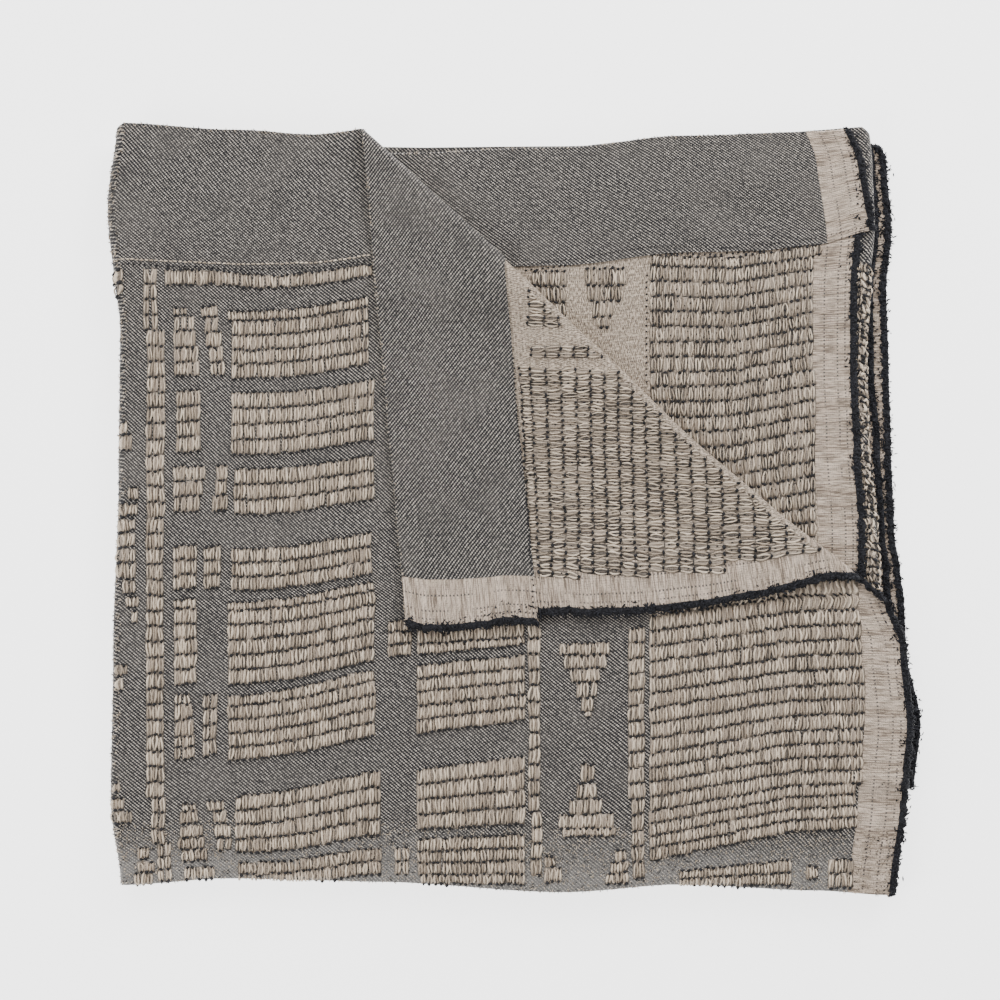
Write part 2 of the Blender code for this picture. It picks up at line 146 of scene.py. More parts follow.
# Float blocks, charted in the view from above. Columns: left, right, top at the left, bottom at
# the left, top at the right, bottom at the right, all in mm on the packet, and the rows of floats.
TOP_BLOCKS = (
    (-225.5, -157.0, 152.5, 142.5, 151.5, 143.0, 1),
    (-157.0, -92.0, 151.5, 143.0, 155.0, 147.0, 1),
    (-260.0, -253.5, 152.5, 145.5, 152.5, 145.5, 1),
    (-258.5, -254.0, 144.0, 137.0, 144.0, 137.0, 1),
    (-239.5, -230.0, 153.5, 114.0, 153.5, 114.0, 4),
    (-237.0, -225.5, 114.0, -6.0, 114.0, -6.0, 12),
    (-237.0, -226.5, -6.0, -185.5, -6.0, -185.5, 18),
    (-234.0, -224.5, -185.5, -215.5, -185.0, -215.0, 3),
    (-230.5, -221.0, -215.5, -239.5, -214.5, -238.0, 3),
    (-185.0, -95.5, 127.0, 121.0, 134.0, 128.0, 1),
    (-183.0, -95.0, 121.0, 84.0, 127.5, 90.5, 4),
    (-183.0, -91.5, 75.0, 35.0, 81.0, 42.5, 4),
    (-181.0, -91.5, 26.5, -3.0, 32.5, 4.5, 3),
    (-182.5, -93.0, -25.0, -52.0, -16.5, -43.5, 3),
    (-185.0, -92.0, -59.5, -64.5, -48.0, -54.0, 1),
    (-185.0, -91.5, -64.5, -112.5, -54.0, -99.0, 5),
    (-185.0, -91.5, -119.5, -126.0, -104.0, -111.5, 1),
    (-185.0, -91.0, -126.0, -161.0, -111.5, -147.0, 4),
    (-180.0, -87.5, -183.0, -219.5, -168.5, -210.0, 4),
    (-178.5, -87.0, -225.5, -240.5, -218.0, -235.0, 2),
    (-220.0, -211.0, 128.0, 123.0, 128.5, 123.5, 1),
    (-220.0, -206.5, 122.0, 113.5, 123.0, 114.0, 1),
    (-220.0, -206.0, 113.5, 102.5, 114.0, 103.5, 1),
    (-220.0, -204.0, 102.5, 93.0, 103.5, 94.0, 1),
    (-220.0, -203.5, 93.0, 84.0, 94.0, 85.0, 1),
    (-218.0, -203.0, 75.0, 35.0, 76.0, 36.5, 4),
    (-220.0, -199.5, 26.0, 16.5, 27.5, 18.0, 1),
    (-220.0, -201.0, 16.5, 7.0, 18.0, 8.5, 1),
    (-220.0, -203.0, 7.0, -3.0, 8.5, -2.0, 1),
    (-220.0, -205.5, -25.0, -52.5, -23.5, -51.0, 3),
    (-219.5, -205.5, -59.0, -64.5, -58.0, -64.0, 1),
    (-219.5, -205.5, -64.5, -114.0, -64.0, -112.0, 5),
    (-219.0, -209.5, -119.5, -126.0, -119.0, -125.5, 1),
    (-219.0, -208.0, -126.0, -136.5, -125.5, -135.0, 1),
    (-219.0, -206.5, -136.5, -146.5, -135.0, -145.5, 1),
    (-219.0, -206.0, -146.5, -161.5, -145.5, -160.0, 2),
    (-214.5, -205.5, -189.5, -194.0, -189.0, -193.5, 1),
    (-216.5, -204.0, -194.0, -202.0, -193.5, -201.5, 1),
    (-215.5, -200.5, -203.5, -211.0, -202.0, -210.0, 1),
    (-217.0, -199.5, -211.0, -219.0, -210.0, -217.5, 1),
    (-214.5, -198.5, -219.0, -226.5, -217.5, -225.5, 1),
    (-213.5, -193.5, -230.0, -238.0, -229.5, -237.0, 1),
    (-202.0, -192.0, 128.5, 122.0, 129.5, 123.0, 1),
    (-199.5, -191.5, 122.0, 112.0, 123.0, 113.5, 1),
    (-199.0, -189.0, 112.0, 102.5, 113.5, 103.5, 1),
    (-197.0, -187.5, 102.5, 93.0, 103.5, 94.5, 1),
    (-196.5, -187.0, 93.0, 84.0, 94.5, 86.0, 1),
    (-192.0, -186.0, 27.0, 17.5, 27.5, 18.0, 1),
    (-193.5, -185.5, 17.5, 7.5, 18.0, 8.5, 1),
    (-195.0, -185.0, 7.5, -2.5, 8.5, -1.5, 1),
    (-200.5, -189.5, -25.0, -52.0, -24.5, -50.5, 3),
    (-201.5, -192.0, -119.5, -159.5, -118.0, -157.0, 4),
    (-198.0, -188.0, -187.5, -194.0, -187.0, -193.5, 1),
    (-195.0, -186.0, -194.0, -202.0, -193.5, -201.0, 1),
    (-193.5, -183.0, -203.0, -211.0, -201.5, -210.0, 1),
    (-192.0, -182.5, -211.0, -219.5, -210.0, -217.5, 1),
    (-254.0, -249.0, 55.5, 48.0, 55.5, 48.0, 1),
    (-254.0, -246.5, 46.5, 36.5, 46.5, 37.0, 1),
    (-249.0, -242.0, 13.0, 5.0, 13.0, 6.0, 1),
    (-253.0, -243.0, 3.0, -5.0, 3.0, -4.5, 1),
    (-255.5, -244.0, -7.0, -15.5, -7.0, -14.5, 1),
    (-255.5, -244.5, -16.0, -25.0, -16.0, -24.5, 1),
    (-256.0, -244.0, -26.0, -35.0, -26.0, -34.5, 1),
    (-256.0, -244.0, -35.0, -45.5, -35.0, -45.0, 1),
    (-253.0, -244.0, -46.0, -55.0, -46.0, -54.5, 1),
    (-250.0, -242.5, -56.5, -64.0, -56.5, -63.5, 1),
    (-247.0, -242.5, -66.0, -73.5, -66.0, -73.0, 1),
    (-256.5, -249.0, -100.5, -107.5, -100.5, -107.0, 1),
    (-256.5, -251.5, -109.5, -117.0, -109.5, -116.5, 1),
    (-259.0, -254.5, -176.0, -182.5, -176.0, -182.0, 1),
    (-260.0, -251.5, -186.0, -193.5, -186.0, -192.5, 1),
    (-260.0, -246.5, -194.0, -202.0, -194.0, -201.5, 1),
    (-242.0, -236.0, -217.5, -225.5, -217.5, -224.5, 1),
    (-242.5, -232.5, -226.5, -233.5, -226.5, -233.0, 1),
    (-245.0, -233.5, -233.5, -242.5, -233.5, -242.0, 1),
    (-82.0, -68.0, -72.5, -95.5, -71.0, -94.0, 3),
    (-78.5, -69.0, -218.0, -235.0, -217.5, -234.0, 2),
    (-64.0, 5.0, -77.0, -87.5, -73.0, -82.5, 1),
    (-64.0, 5.0, -87.5, -94.0, -82.5, -87.5, 1),
    (-64.0, 5.0, -100.5, -144.5, -94.0, -136.0, 5),
    (-64.0, 5.0, -167.5, -206.0, -158.5, -202.0, 4),
    (-64.0, 5.0, -212.0, -235.0, -208.5, -234.0, 3),
    (-62.0, 5.0, -235.0, -240.5, -234.0, -241.0, 1),
    (7.5, 14.5, -73.5, -194.5, -73.0, -194.0, 12),
    (9.5, 16.0, -194.5, -214.5, -194.0, -214.0, 2),
    (9.0, 15.5, -214.5, -235.5, -214.0, -235.0, 2),
    (27.5, 59.5, -87.0, -94.5, -86.0, -94.0, 1),
    (30.5, 57.0, -94.5, -103.0, -94.0, -102.5, 1),
    (34.0, 53.0, -103.0, -112.0, -102.5, -111.5, 1),
    (38.0, 51.0, -112.0, -121.5, -111.5, -121.0, 1),
    (41.0, 49.5, -121.5, -130.5, -121.0, -130.0, 1),
    (43.0, 47.5, -130.0, -134.5, -130.0, -134.5, 1),
    (40.5, 49.5, -164.0, -176.0, -164.0, -175.5, 1),
    (38.0, 51.0, -176.5, -187.0, -176.5, -186.0, 1),
    (33.5, 54.5, -187.0, -196.5, -186.0, -196.0, 1),
    (27.0, 62.0, -196.5, -205.5, -196.0, -205.0, 1),
    (29.0, 63.5, -205.0, -210.5, -205.0, -210.0, 1),
    (18.0, 24.0, -223.0, -230.0, -222.5, -229.5, 1),
    (18.0, 28.0, -230.0, -239.5, -229.5, -239.0, 1),
    (63.0, 69.5, -219.5, -226.5, -219.0, -226.0, 1),
    (60.0, 71.5, -226.5, -233.5, -226.0, -233.0, 1),
    (57.0, 71.5, -233.5, -240.5, -233.0, -240.0, 1),
    (71.5, 81.5, -77.0, -187.0, -75.5, -185.5, 11),
    (73.5, 81.5, -187.0, -226.5, -185.5, -225.5, 4),
    (74.0, 82.0, -226.5, -237.5, -225.5, -236.5, 1),
    (85.0, 174.5, -59.5, -79.0, -46.0, -66.0, 2),
    (174.5, 217.5, -46.0, -66.0, -45.0, -64.5, 2),
    (85.0, 174.5, -79.0, -119.0, -66.0, -104.5, 4),
    (174.5, 220.0, -66.0, -104.5, -64.5, -102.5, 4),
    (85.0, 174.5, -119.0, -157.5, -104.5, -142.5, 4),
    (174.5, 222.5, -104.5, -142.5, -102.5, -141.0, 4),
    (85.0, 174.5, -157.5, -194.5, -142.5, -178.0, 4),
    (174.5, 221.0, -142.5, -178.0, -141.0, -176.0, 4),
    (85.0, 174.5, -194.5, -226.0, -178.0, -207.5, 4),
    (174.5, 217.5, -178.0, -207.5, -176.0, -205.0, 4),
    (104.0, 175.5, -232.5, -242.5, -225.0, -241.5, 2),
    (185.5, 192.5, -229.0, -237.5, -229.0, -237.5, 1),
    (199.0, 215.5, -225.5, -243.0, -224.0, -243.0, 2),
)

# The same on the leaf below, whose reverse shows beside the turned corner
UNDER_BLOCKS = (
    (85.0, 137.5, 162.0, 155.5, 160.5, 153.5, 1),
    (137.5, 195.0, 160.5, 153.5, 169.5, 162.0, 1),
    (85.0, 137.5, 155.5, 77.5, 153.5, 78.5, 8),
    (137.5, 190.0, 153.5, 78.5, 162.0, 89.0, 8),
    (85.0, 137.5, 77.5, -39.0, 78.5, -38.0, 12),
    (137.5, 191.5, 78.5, -38.0, 89.0, -27.5, 12),
    (43.5, 70.5, 153.5, 142.5, 153.5, 142.5, 1),
    (45.0, 66.5, 142.5, 132.5, 142.5, 132.5, 1),
    (48.0, 61.5, 132.5, 122.0, 132.5, 123.0, 1),
    (52.5, 59.0, 122.0, 115.0, 122.0, 116.0, 1),
    (9.5, 32.0, 151.5, 141.5, 151.5, 142.0, 1),
    (14.5, 31.5, 141.5, 131.0, 142.0, 132.0, 1),
    (22.5, 31.5, 131.0, 121.5, 132.0, 122.0, 1),
)

# The turned corner's blocks lie sideways. Columns: top, bottom, left at the top, right at the top,
# left at the bottom, right at the bottom, and the rows of floats.
CORNER_BLOCKS = (
    (92.0, -36.0, 2.0, 9.0, 8.5, 14.0, 1),
    (91.0, -40.0, 9.0, 39.0, 14.0, 40.0, 3),
    (91.0, -36.0, 39.0, 85.0, 40.0, 85.0, 5),
    (69.0, -33.0, 85.0, 134.0, 85.0, 134.0, 5),
    (37.0, -27.0, 134.0, 194.0, 134.0, 194.0, 6),
    (105.5, 97.0, 10.0, 56.0, 10.0, 56.0, 5),
    (146.0, 116.5, 8.0, 28.0, 8.0, 28.0, 2),
)

# Stitching along the hems: sideways place and height, in mm
TOP_HEM_STITCHES = ((-254, 159.5), (-178, 156.0), (-126, 157.0), (-93, 162.0))
UNDER_HEM_STITCHES = (
    (4, 156.0), (28, 159.0), (52, 162.5), (85, 167.5), (128, 166.5), (171, 170.5), (219, 179.5),
)
CORNER_HEM_STITCHES = ((-2, 104.0), (0, 58.0), (5, 21.0), (9, -36.0), (10, -60.0))

# Lines of dark dots on the leaf below the top one, in the same columns
UNDER_DOT_LINES = (
    ((83, 151.0), (83, 77.0)),
    ((109.5, 115.0), (109.5, 89.5)),
    ((123, 127.0), (123, 105.5)),
    ((148.5, 128.5), (148.5, 117.0)),
)

# How far the second leaf's turned hem reaches down, as a share of its depth, against the distance
# in mm from the selvedge: it is drawn up beside the selvedge.
HEM_DRAW = ((0, 0.80), (35, 0.87), (70, 0.91), (300, 0.94), (490, 1.0))

# Soft creases of the packet's upper layers: both ends, then the width and the height, in mm. They
# sink where the height is below 0.
CREASES = (
    (222, -175.5, 248, -176.5, 4.5, 4.5),
    (222, -185.0, 248, -185.5, 5.5, -4.0),
    (200, 42.0, 226, 44.0, 6.0, -4.5),
    (204, -6.0, 226, -4.0, 7.0, -4.5),
    (10, 94.0, 58, 91.0, 6.0, -1.6),
    (-250, -205.0, -150, -215.0, 10.0, 2.6),
    (-150, -214.0, 30, -219.0, 9.0, 2.4),
    (30, -219.0, 200, -207.0, 10.0, 2.6),
    (-205, 150.0, -160, 240.0, 10.0, 1.8),
    (-130, 160.0, -118, 235.0, 9.0, 1.6),
    (-245, 100.0, -238, -120.0, 8.0, 1.8),
    (-170, -172.0, -90, -160.0, 11.0, -2.2),
    (60, 190.0, 150, 215.0, 13.0, 1.8),
    (110, 200.0, 200, 176.0, 11.0, -1.8),
    (-60, -150.0, 5, -148.0, 10.0, -2.0),
    (-45, 150.0, -30, -10.0, 13.0, 1.6),
    (-50, 236.0, -70, 100.0, 12.0, -1.6),
)

# How much lower than a straight line the rows of the top leaf hang: sideways place, then mm
ROW_SAG = (
    (-260, 0.0), (-190, 0.0), (-176, 1.6), (-162, 2.5), (-144, 2.7), (-130, 2.0), (-120, 1.1),
    (-109, 0.1), (-95, -1.1), (-82, 0.0), (260, 0.0),
)

# The same for rows that hang straight
LEVEL = ((-260, 0.0), (260, 0.0))

# How far the turned corner's selvedge hangs below a straight line: sideways place, then mm
CORNER_SAG = (
    (-80, 0.0), (-70, 3.0), (-60, 6.5), (-43, 6.5), (-21, 4.5), (-9, 2.0), (10, 2.5), (16, 6.0),
    (30, 6.5), (46, 9.5), (85, 11.5), (117, 10.5), (149, 8.0), (175, 5.0), (190, 3.5), (203, 0.0),
    (230, 0.0),
)
CORNER_SAG_FADE = 28 * MM

# How far that selvedge stands off the leaf it lies on
CORNER_LIFT = 3.2 * MM

# How far the slanting fold bows in towards the cloth: the distance along it, then the bow, in mm
TURN_BOW = ((0, 0.0), (110, 0.5), (200, 2.5), (290, 6.0), (350, 4.5), (424, 0.5), (460, 0.0))
TURN_BOW_FADE = 60 * MM

# Worked out: the bottom fold, where a leaf and its hem begin, and the flat cloth's reach
BOTTOM_RADIUS = BODY_PITCH / 2.0
LEAF_START = math.pi * BOTTOM_RADIUS / 2.0
HEM_RADIUS = HEM_PITCH / 2.0
HEM_START = LEAF_START + LEAF
HEM_TURNED = HEM_START + math.pi * HEM_RADIUS
HALF_LENGTH = HEM_TURNED + HEM_DEPTH
FULL_WIDTH = PANELS * PANEL + (PANELS - 1) * FOLD_WIDTH

# A pair of floats. The ranges are in mm, but for the widths, which are shares of FLOAT_THICKNESS,
# and the peaks, which are shares of the length. FLOAT_INSET is a share of the length too.
PAIR_PITCH = 3.95 * MM
FLOAT_THICKNESS = 1.25 * MM
FLOAT_BOWS = (0.3, 1.05)
FLOAT_MEETS = (0.35, 0.8)
FLOAT_LEANS = (-0.9, 0.9)
FLOAT_HEIGHTS = (0.3, 1.2)
FLOAT_WIDTHS = (0.8, 1.4)
FLOAT_PEAKS = (0.3, 0.7)
FLOAT_BASE = 0.25 * MM
FLOAT_INSET = 0.06
FLOAT_STRAY = 0.15 * MM

# What slim floats have more of in their bow, in mm, and less of in their width, as a share
SLIM_BOW = 0.2
SLIM_WIDTH = 0.25

# The bed's height and depth, how far a charted place strays, and the share of a float that has to
# lie on the turned corner for the float to be kept
BED_LIFT = 0.1 * MM
BED_DEPTH = 0.3 * MM
CHART_STRAY = 0.32 * MM
SHORTEST_FLOAT = 0.3

# The black ties: the least gap between one block's and another's, and how far past the slanting
# fold one may lie
TIE_GAP = 2.4 * MM
TIE_PAST_TURN = 1.0 * MM

# How far a knot, a dash and a speck reach to each side, the share of ties that have a knot and a
# dash and of float pairs that have a speck, where along the pair it lies, and how far they stray.
# The specks are dark strands among the floats, partly dark yarn and partly painted shade.
KNOT_REACHES = (0.75, 1.2)
KNOT_SHARE = 0.94
KNOT_STRAY = 0.2 * MM
DASH_REACH = PAIR_PITCH * 0.48
DASH_SHARE = 0.5
DASH_STRAY = 0.3 * MM
SHADE_SPECK_REACH = 0.7 * MM
SHADE_SPECK_SHARE = 0.7
SHADE_SPECK_PLACES = (0.25, 0.75)
SHADE_SPECK_STRAY = 0.7 * MM

# Their arches: lowest and highest, then the width, the depth and the lean, in mm
KNOT_ARCH = (0.9, 1.5, 2.0, 1.3, 0.4)
DASH_ARCH = (0.2, 0.5, 0.5, 0.4, 0.6)
SHADE_SPECK_ARCH = (0.3, 1.1, 0.75, 0.7, 0.7)

# The floats round the right-hand fold: how far from it they start, their pitch, the length of a
# row, how far below the leaf's end they stop, and how far they stray
RIM_START = 14.0 * MM
RIM_PITCH = 2.9 * MM
RIM_ROW = 5.2 * MM
RIM_STOP = 84 * MM
RIM_STRAY = 0.7 * MM

# An edging's core: its middle's distance from the selvedge, its width and depth, the number of its
# lengths, the waves it wobbles in (size in mm, rate over the whole edging, phase), and how much
# wider it is for a wobble
EDGING_MIDDLE = 1.5 * MM
EDGING_WIDTH = 5.2 * MM
EDGING_DEPTH = 2.0 * MM
EDGING_LENGTHS = 700
EDGING_WAVES = ((0.25, 900.0, 0.0), (0.35, 2300.0, 1.0), (0.3, 5170.0, 0.0))
EDGING_SPREAD = 1.2

# Its tufts: how many, their ranges in mm, how far they stray sideways, turn (in radians) and rise,
# their least height either way, and the waves they clump in (size in mm, length over two pi in mm,
# phase)
TUFTS = 6600
TUFT_LENGTHS = (1.4, 3.4)
TUFT_WIDTHS = (0.7, 1.5)
TUFT_STRAY = 1.65 * MM
TUFT_TURN = 1.2
TUFT_RISE = 0.7 * MM
TUFT_LIFT = 0.8 * MM
TUFT_CLUMPS = ((0.5, 2.1, 0.0), (0.4, 5.3, 2.0))

# Loose hairs: how many on the leaves' ends and on the left fold each, and at the bottom, their
# ranges in mm, how thick they are, and the share that is pale
SIDE_HAIRS = 900
BOTTOM_HAIRS = 4200
HAIR_LENGTHS = (0.4, 1.4)
HAIR_HEIGHTS = (0.2, 1.3)
HAIR_THICKNESS = 0.75 * MM
PALE_SHARE = 0.7

# The stretches that have them: before a leaf's end, round the left fold, and up from the bottom
END_FUZZ = 0.6 * MM
LEFT_FUZZ = (-1 * MM, 5 * MM)
BOTTOM_FUZZ = 40.0 * MM

# The stitches' least and greatest height in mm, how deep one is for its width, and how far they stray
STITCH_HEIGHTS = (0.4, 0.8)
STITCH_DEPTH = 0.8
STITCH_STRAY = 0.15 * MM

# The dark twill: a yarn's pitch both ways, how much it slants and wavers, and the stretch of painted
# sheen (light on the fuzz) over the bottom fold, from where it starts to where it is full
THREAD_ACROSS = 1.32 * MM
THREAD_ALONG = 1.0 * MM
THREAD_SLANT = 0.2
THREAD_WAVER = 2.0 * MM
PAINTED_SHEEN_START = 44.0 * MM
PAINTED_SHEEN_FULL = 2.0 * MM

# The plain strips: the blur of an edge, the sizes of their uneven lines, the pitches of their
# specks, their dotted lines' distances from the first selvedge, and the dots' pitch and width
STRIP_BLUR = 0.3 * MM
FINE_LINES = 0.75 * MM
BROAD_LINES = 7.0 * MM
STRIP_SPECKS = (1.3 * MM, 1.0 * MM)
DOTTED_LINES = (4.0 * MM, 9.0 * MM, 18.0 * MM)
DOT_PITCH = 2.3 * MM
DOT_EDGES = (0.75 * MM, 0.25 * MM)

# The reverse's specks: their pitches and slant. Then how deep the weave is on both faces.
BACK_SPECKS = (1.3 * MM, 2.0 * MM)
BACK_SLANT = 0.33
WEAVE_DEPTH = 0.35 * MM

# How much of the painted sheen at the bottom fold, and of the slubs across the twill, shows
PAINTED_SHEEN_SHARE = 0.42
SLUB_SHARE = 0.75

# Colours. Where there are two, they are the dark and the light end.
TWILL_INK = ((0.004, 0.004, 0.006), (0.034, 0.032, 0.034))
TWILL_PALE = ((0.29, 0.263, 0.232), (0.70, 0.63, 0.55))
TWILL_SLUB = (0.015, 0.014, 0.016)
# Painted sheen: a pale haze standing in for light on the fuzz where the cloth turns down at the
# bottom fold
FOLD_PAINTED_SHEEN = (0.42, 0.40, 0.375)
STRIP_BEIGE = ((0.19, 0.145, 0.108), (0.60, 0.475, 0.37))
STRIP_LIGHT = ((0.36, 0.285, 0.22), (0.76, 0.62, 0.50))
STRIP_SPECK = (0.12, 0.10, 0.09)
STRIP_DOT = (0.06, 0.055, 0.055)
BACK_PALE = ((0.27, 0.21, 0.155), (0.72, 0.59, 0.465))
BACK_SPECK = (0.07, 0.06, 0.055)
FLOOR = ((0.93, 0.93, 0.93), (0.95, 0.95, 0.95))
WHITE = (1.0, 1.0, 1.0, 1.0)

# Faded and worn patches of the twill: the noise's scale, where a patch begins and where it is full,
# how much of it shows, and its colour
TWILL_PATCHES = (
    (24.0, 0.45, 0.7, 0.2, (0.17, 0.155, 0.14)),
    (38.0, 0.5, 0.72, 0.3, (0.03, 0.028, 0.028)),
)

# Each yarn's dark and light end, the scale of its lumps and how high they stand
YARNS = (
    ("pale_yarn", (0.36, 0.285, 0.215), (0.86, 0.725, 0.57), 2600.0, 0.2 * MM),
    # Beige ground under the top face's floats, darkened with painted shade between the floats
    ("ground_with_painted_shade_yarn", (0.13, 0.11, 0.09), (0.52, 0.43, 0.35), 2600.0, 0.2 * MM),
    # The reverse's and the rim's bed: darker grain and deeper painted shade between the floats
    ("ground_with_deep_painted_shade_yarn", (0.055, 0.047, 0.041), (0.46, 0.385, 0.315), 2600.0, 0.2 * MM),
    ("black_yarn", (0.005, 0.005, 0.006), (0.024, 0.023, 0.027), 2600.0, 0.2 * MM),
    ("edging_yarn", (0.002, 0.002, 0.004), (0.026, 0.027, 0.036), 800.0, 1.6 * MM),
)

# The studio. Each light's name, place, size and power, all in metres and watts.
LIGHTS = (
    ("low_left", (-1.3, -0.6, 1.0), 0.9, 15.0),
    ("low_right", (0.8, 1.3, 0.9), 0.9, 27.0),
    ("top_left", (-0.6, 1.2, 1.8), 1.2, 20.0),
)
WORLD_STRENGTH = 0.55
FLOOR_GLOW = 2.4
FLOOR_SIZE = 3.0
CAMERA_PLACE = (-10.01 * MM, 5.93 * MM, 2.2)
CAMERA_LENS = 122.7
CAMERA_SENSOR = 36.0
CAMERA_CLIP_END = 20.0

random = np.random.default_rng(7)


def vary(count, low, high):
    """A column of random numbers, one for each of many like pieces."""
    return random.uniform(low, high, (count, 1))


def jitter(places, amount):
    return places + random.normal(0.0, amount, places.shape)


def thin_out(places, share):
    """A random share of the places."""
    return places[random.random(len(places)) < share]


# Folding


def blend(low, high, share):
    return low + (high - low) * share


def ease(share):
    """0 to 1 with level ends."""
    share = np.clip(share, 0.0, 1.0)
    return share * share * (3.0 - 2.0 * share)


def read_table(table, place, column):
    """A column of a table in mm, eased between its rows. The first column runs either way."""
    rows = np.array(table if table[0][0] < table[-1][0] else table[::-1], dtype=float)
    place = np.asarray(place) / MM
    low = np.clip(np.searchsorted(rows[:, 0], place) - 1, 0, len(rows) - 2)
    share = ease((place - rows[low, 0]) / (rows[low + 1, 0] - rows[low, 0]))
    return blend(rows[low, column], rows[low + 1, column], share) * MM


def stacking(up):
    """Half the spread between the two leaves' middles, and the double cloth's thickness, at a
    distance from the bottom fold."""
    rise = ease((up - (LEAF - HEM_DEPTH - HEM_FADE)) / HEM_FADE)
    pitch = blend(BODY_PITCH, HEM_PITCH, rise)
    double = 2.0 * (1.0 + rise) * pitch
    return double / 2.0 - pitch / 2.0, double


def turn_hem(reach, offset, draw):
    """The distance up the leaf, the offset from its middle and how far along the turned hem."""
    angle = np.clip((reach - HEM_START) / HEM_RADIUS, 0.0, math.pi)
    radius = HEM_RADIUS + offset
    inside = reach <= HEM_START
    turned = reach >= HEM_TURNED
    up = np.where(inside, reach - LEAF_START, LEAF + radius * np.sin(angle))
    up = np.where(turned, LEAF - draw * (reach - HEM_TURNED), up)
    lift = np.where(inside, offset, radius * np.cos(angle) - HEM_RADIUS)
    lift = np.where(turned, -HEM_PITCH - offset, lift)
    return up, lift, np.where(turned, (reach - HEM_TURNED) / HEM_DEPTH, 0.0)


def drawn_hem(across, along):
    """How far a leaf's turned hem reaches down, as a share of its depth."""
    return np.where(along < 0.0, read_table(HEM_DRAW, across, 1) / MM, 1.0)


def halve(across, along, offset):
    """Folds the cloth at its middle. Returns the distance up from the bottom fold, the height in
    the double cloth, the top leaf's share (1 in the top leaf, 0 in the other) and the hem's share."""
    in_arc = np.abs(along) < LEAF_START
    angle = np.clip(along / BOTTOM_RADIUS, -math.pi / 2.0, math.pi / 2.0)
    radius = BOTTOM_RADIUS + offset
    up, lift, hem = turn_hem(np.abs(along), offset, drawn_hem(across, along))
    height = stacking(up)[0] + lift
    facing = np.where(along > 0.0, 1.0, -1.0)
    return (
        np.where(in_arc, -radius * np.cos(angle), up),
        np.where(in_arc, radius * np.sin(angle), facing * height),
        0.5 + 0.5 * np.sin(angle),
        np.where(in_arc, 0.0, hem),
    )


def right_edge(panel, height, top_leaf, hem):
    """The sideways place of a panel's right end."""
    columns = [read_table(RIGHT_SIDE, height, column) for column in range(1, 6)]
    top, under, fold, low, lowest = columns
    first = blend(under, top, top_leaf) + HEM_STRAY * hem
    lower = np.where(panel == PANELS - 1, blend(low, lowest, top_leaf), fold)
    return np.where(panel == 0, first, lower)


def left_edge(panel, height):
    """The sideways place of a panel's left end."""
    upper = read_table(LEFT_SIDE, height, 1)
    return np.where(panel < 2, upper, read_table(LEFT_SIDE, height, 2))


def leaf_ends(panel, sideways, top_leaf):
    """The heights on the packet of a leaf's bottom fold and of its turned end."""
    first = blend(read_table(ENDS, sideways, 2), read_table(ENDS, sideways, 1), top_leaf)
    lower = np.where(panel == 1, read_table(ENDS, sideways, 2), read_table(ENDS, sideways, 3))
    upper_fold = read_table(ENDS, sideways, 4)
    lower_fold = read_table(ENDS, sideways, 5)
    return (
        np.where(panel == PANELS - 1, lower_fold, upper_fold),
        np.where(panel == 0, first, lower),
    )


def place_in_zigzag(across):
    """The panel, the share of its width, and the share of the fold that follows it or below 0."""
    step = PANEL + FOLD_WIDTH
    panel = np.clip(np.floor((across + TINY) / step), 0, PANELS - 1)
    local = across - panel * step
    in_fold = (panel < PANELS - 1) & (local > PANEL + TINY)
    return panel, local / PANEL, np.where(in_fold, (local - PANEL) / FOLD_WIDTH, -1.0)


def plan_place(panel, share, up, top_leaf, hem, past):
    """Where a point of a panel lies in the view from above."""
    from_right = np.where(panel % 2 == 0, share, 1.0 - share)
    from_right = np.where(past > 0.0, np.maximum(from_right, 0.0), from_right)
    sideways = blend(ROUGH_RIGHT, ROUGH_LEFT, from_right)
    for _ in range(SEARCH_STEPS):
        bottom, top = leaf_ends(panel, sideways, top_leaf)
        height = blend(bottom, top, up / LEAF)
        right = right_edge(panel, height, top_leaf, hem)
        sideways = blend(right, left_edge(panel, height), from_right)
    return sideways + past, height


def zigzag_height(panel, up, height):
    """The height above the surface of a point of a flat panel."""
    spread, double = stacking(up)
    facing = np.where(panel % 2 == 0, 1.0, -1.0)
    return (PANELS - 0.5 - panel) * double + facing * height - (double / 2.0 - spread) + SHEET / 2.0


def fold_place(panel, share, up, height, top_leaf):
    """A point in the fold between a panel and the next one."""
    at_left = np.where(panel % 2 == 0, 1.0, -1.0)
    spread, double = stacking(up)
    centre = (PANELS - 1 - panel) * double - (double / 2.0 - spread) + SHEET / 2.0
    radius = double / 2.0 + at_left * height
    angle = math.pi * share
    still = np.zeros_like(share)
    start = plan_place(panel, still + 1.0, up, top_leaf, still, still)
    end = plan_place(panel + 1, still, up, top_leaf, still, still)
    sideways = blend(start[0], end[0], share) - at_left * radius * np.sin(angle)
    return sideways, blend(start[1], end[1], share), centre + radius * np.cos(angle)


def top_height(sideways, height):
    """The height of the top leaf's middle where it lies flat."""
    bottom = read_table(ENDS, sideways, 4)
    top = read_table(ENDS, sideways, 1)
    spread, double = stacking(LEAF * (height - bottom) / (top - bottom))
    return (PANELS - 1) * double + 2.0 * spread + SHEET / 2.0


def turn_axes():
    """A point on the slanting fold, and the direction from it towards the corner."""
    start = np.array(TURN_TOP)
    run = np.array(TURN_SIDE) - start
    run = run / np.linalg.norm(run)
    return start, np.array((-run[1], run[0]))


def past_turn(x, y):
    """How far a place in the view lies past the slanting fold."""
    start, outward = turn_axes()
    return (x - start[0]) * outward[0] + (y - start[1]) * outward[1]


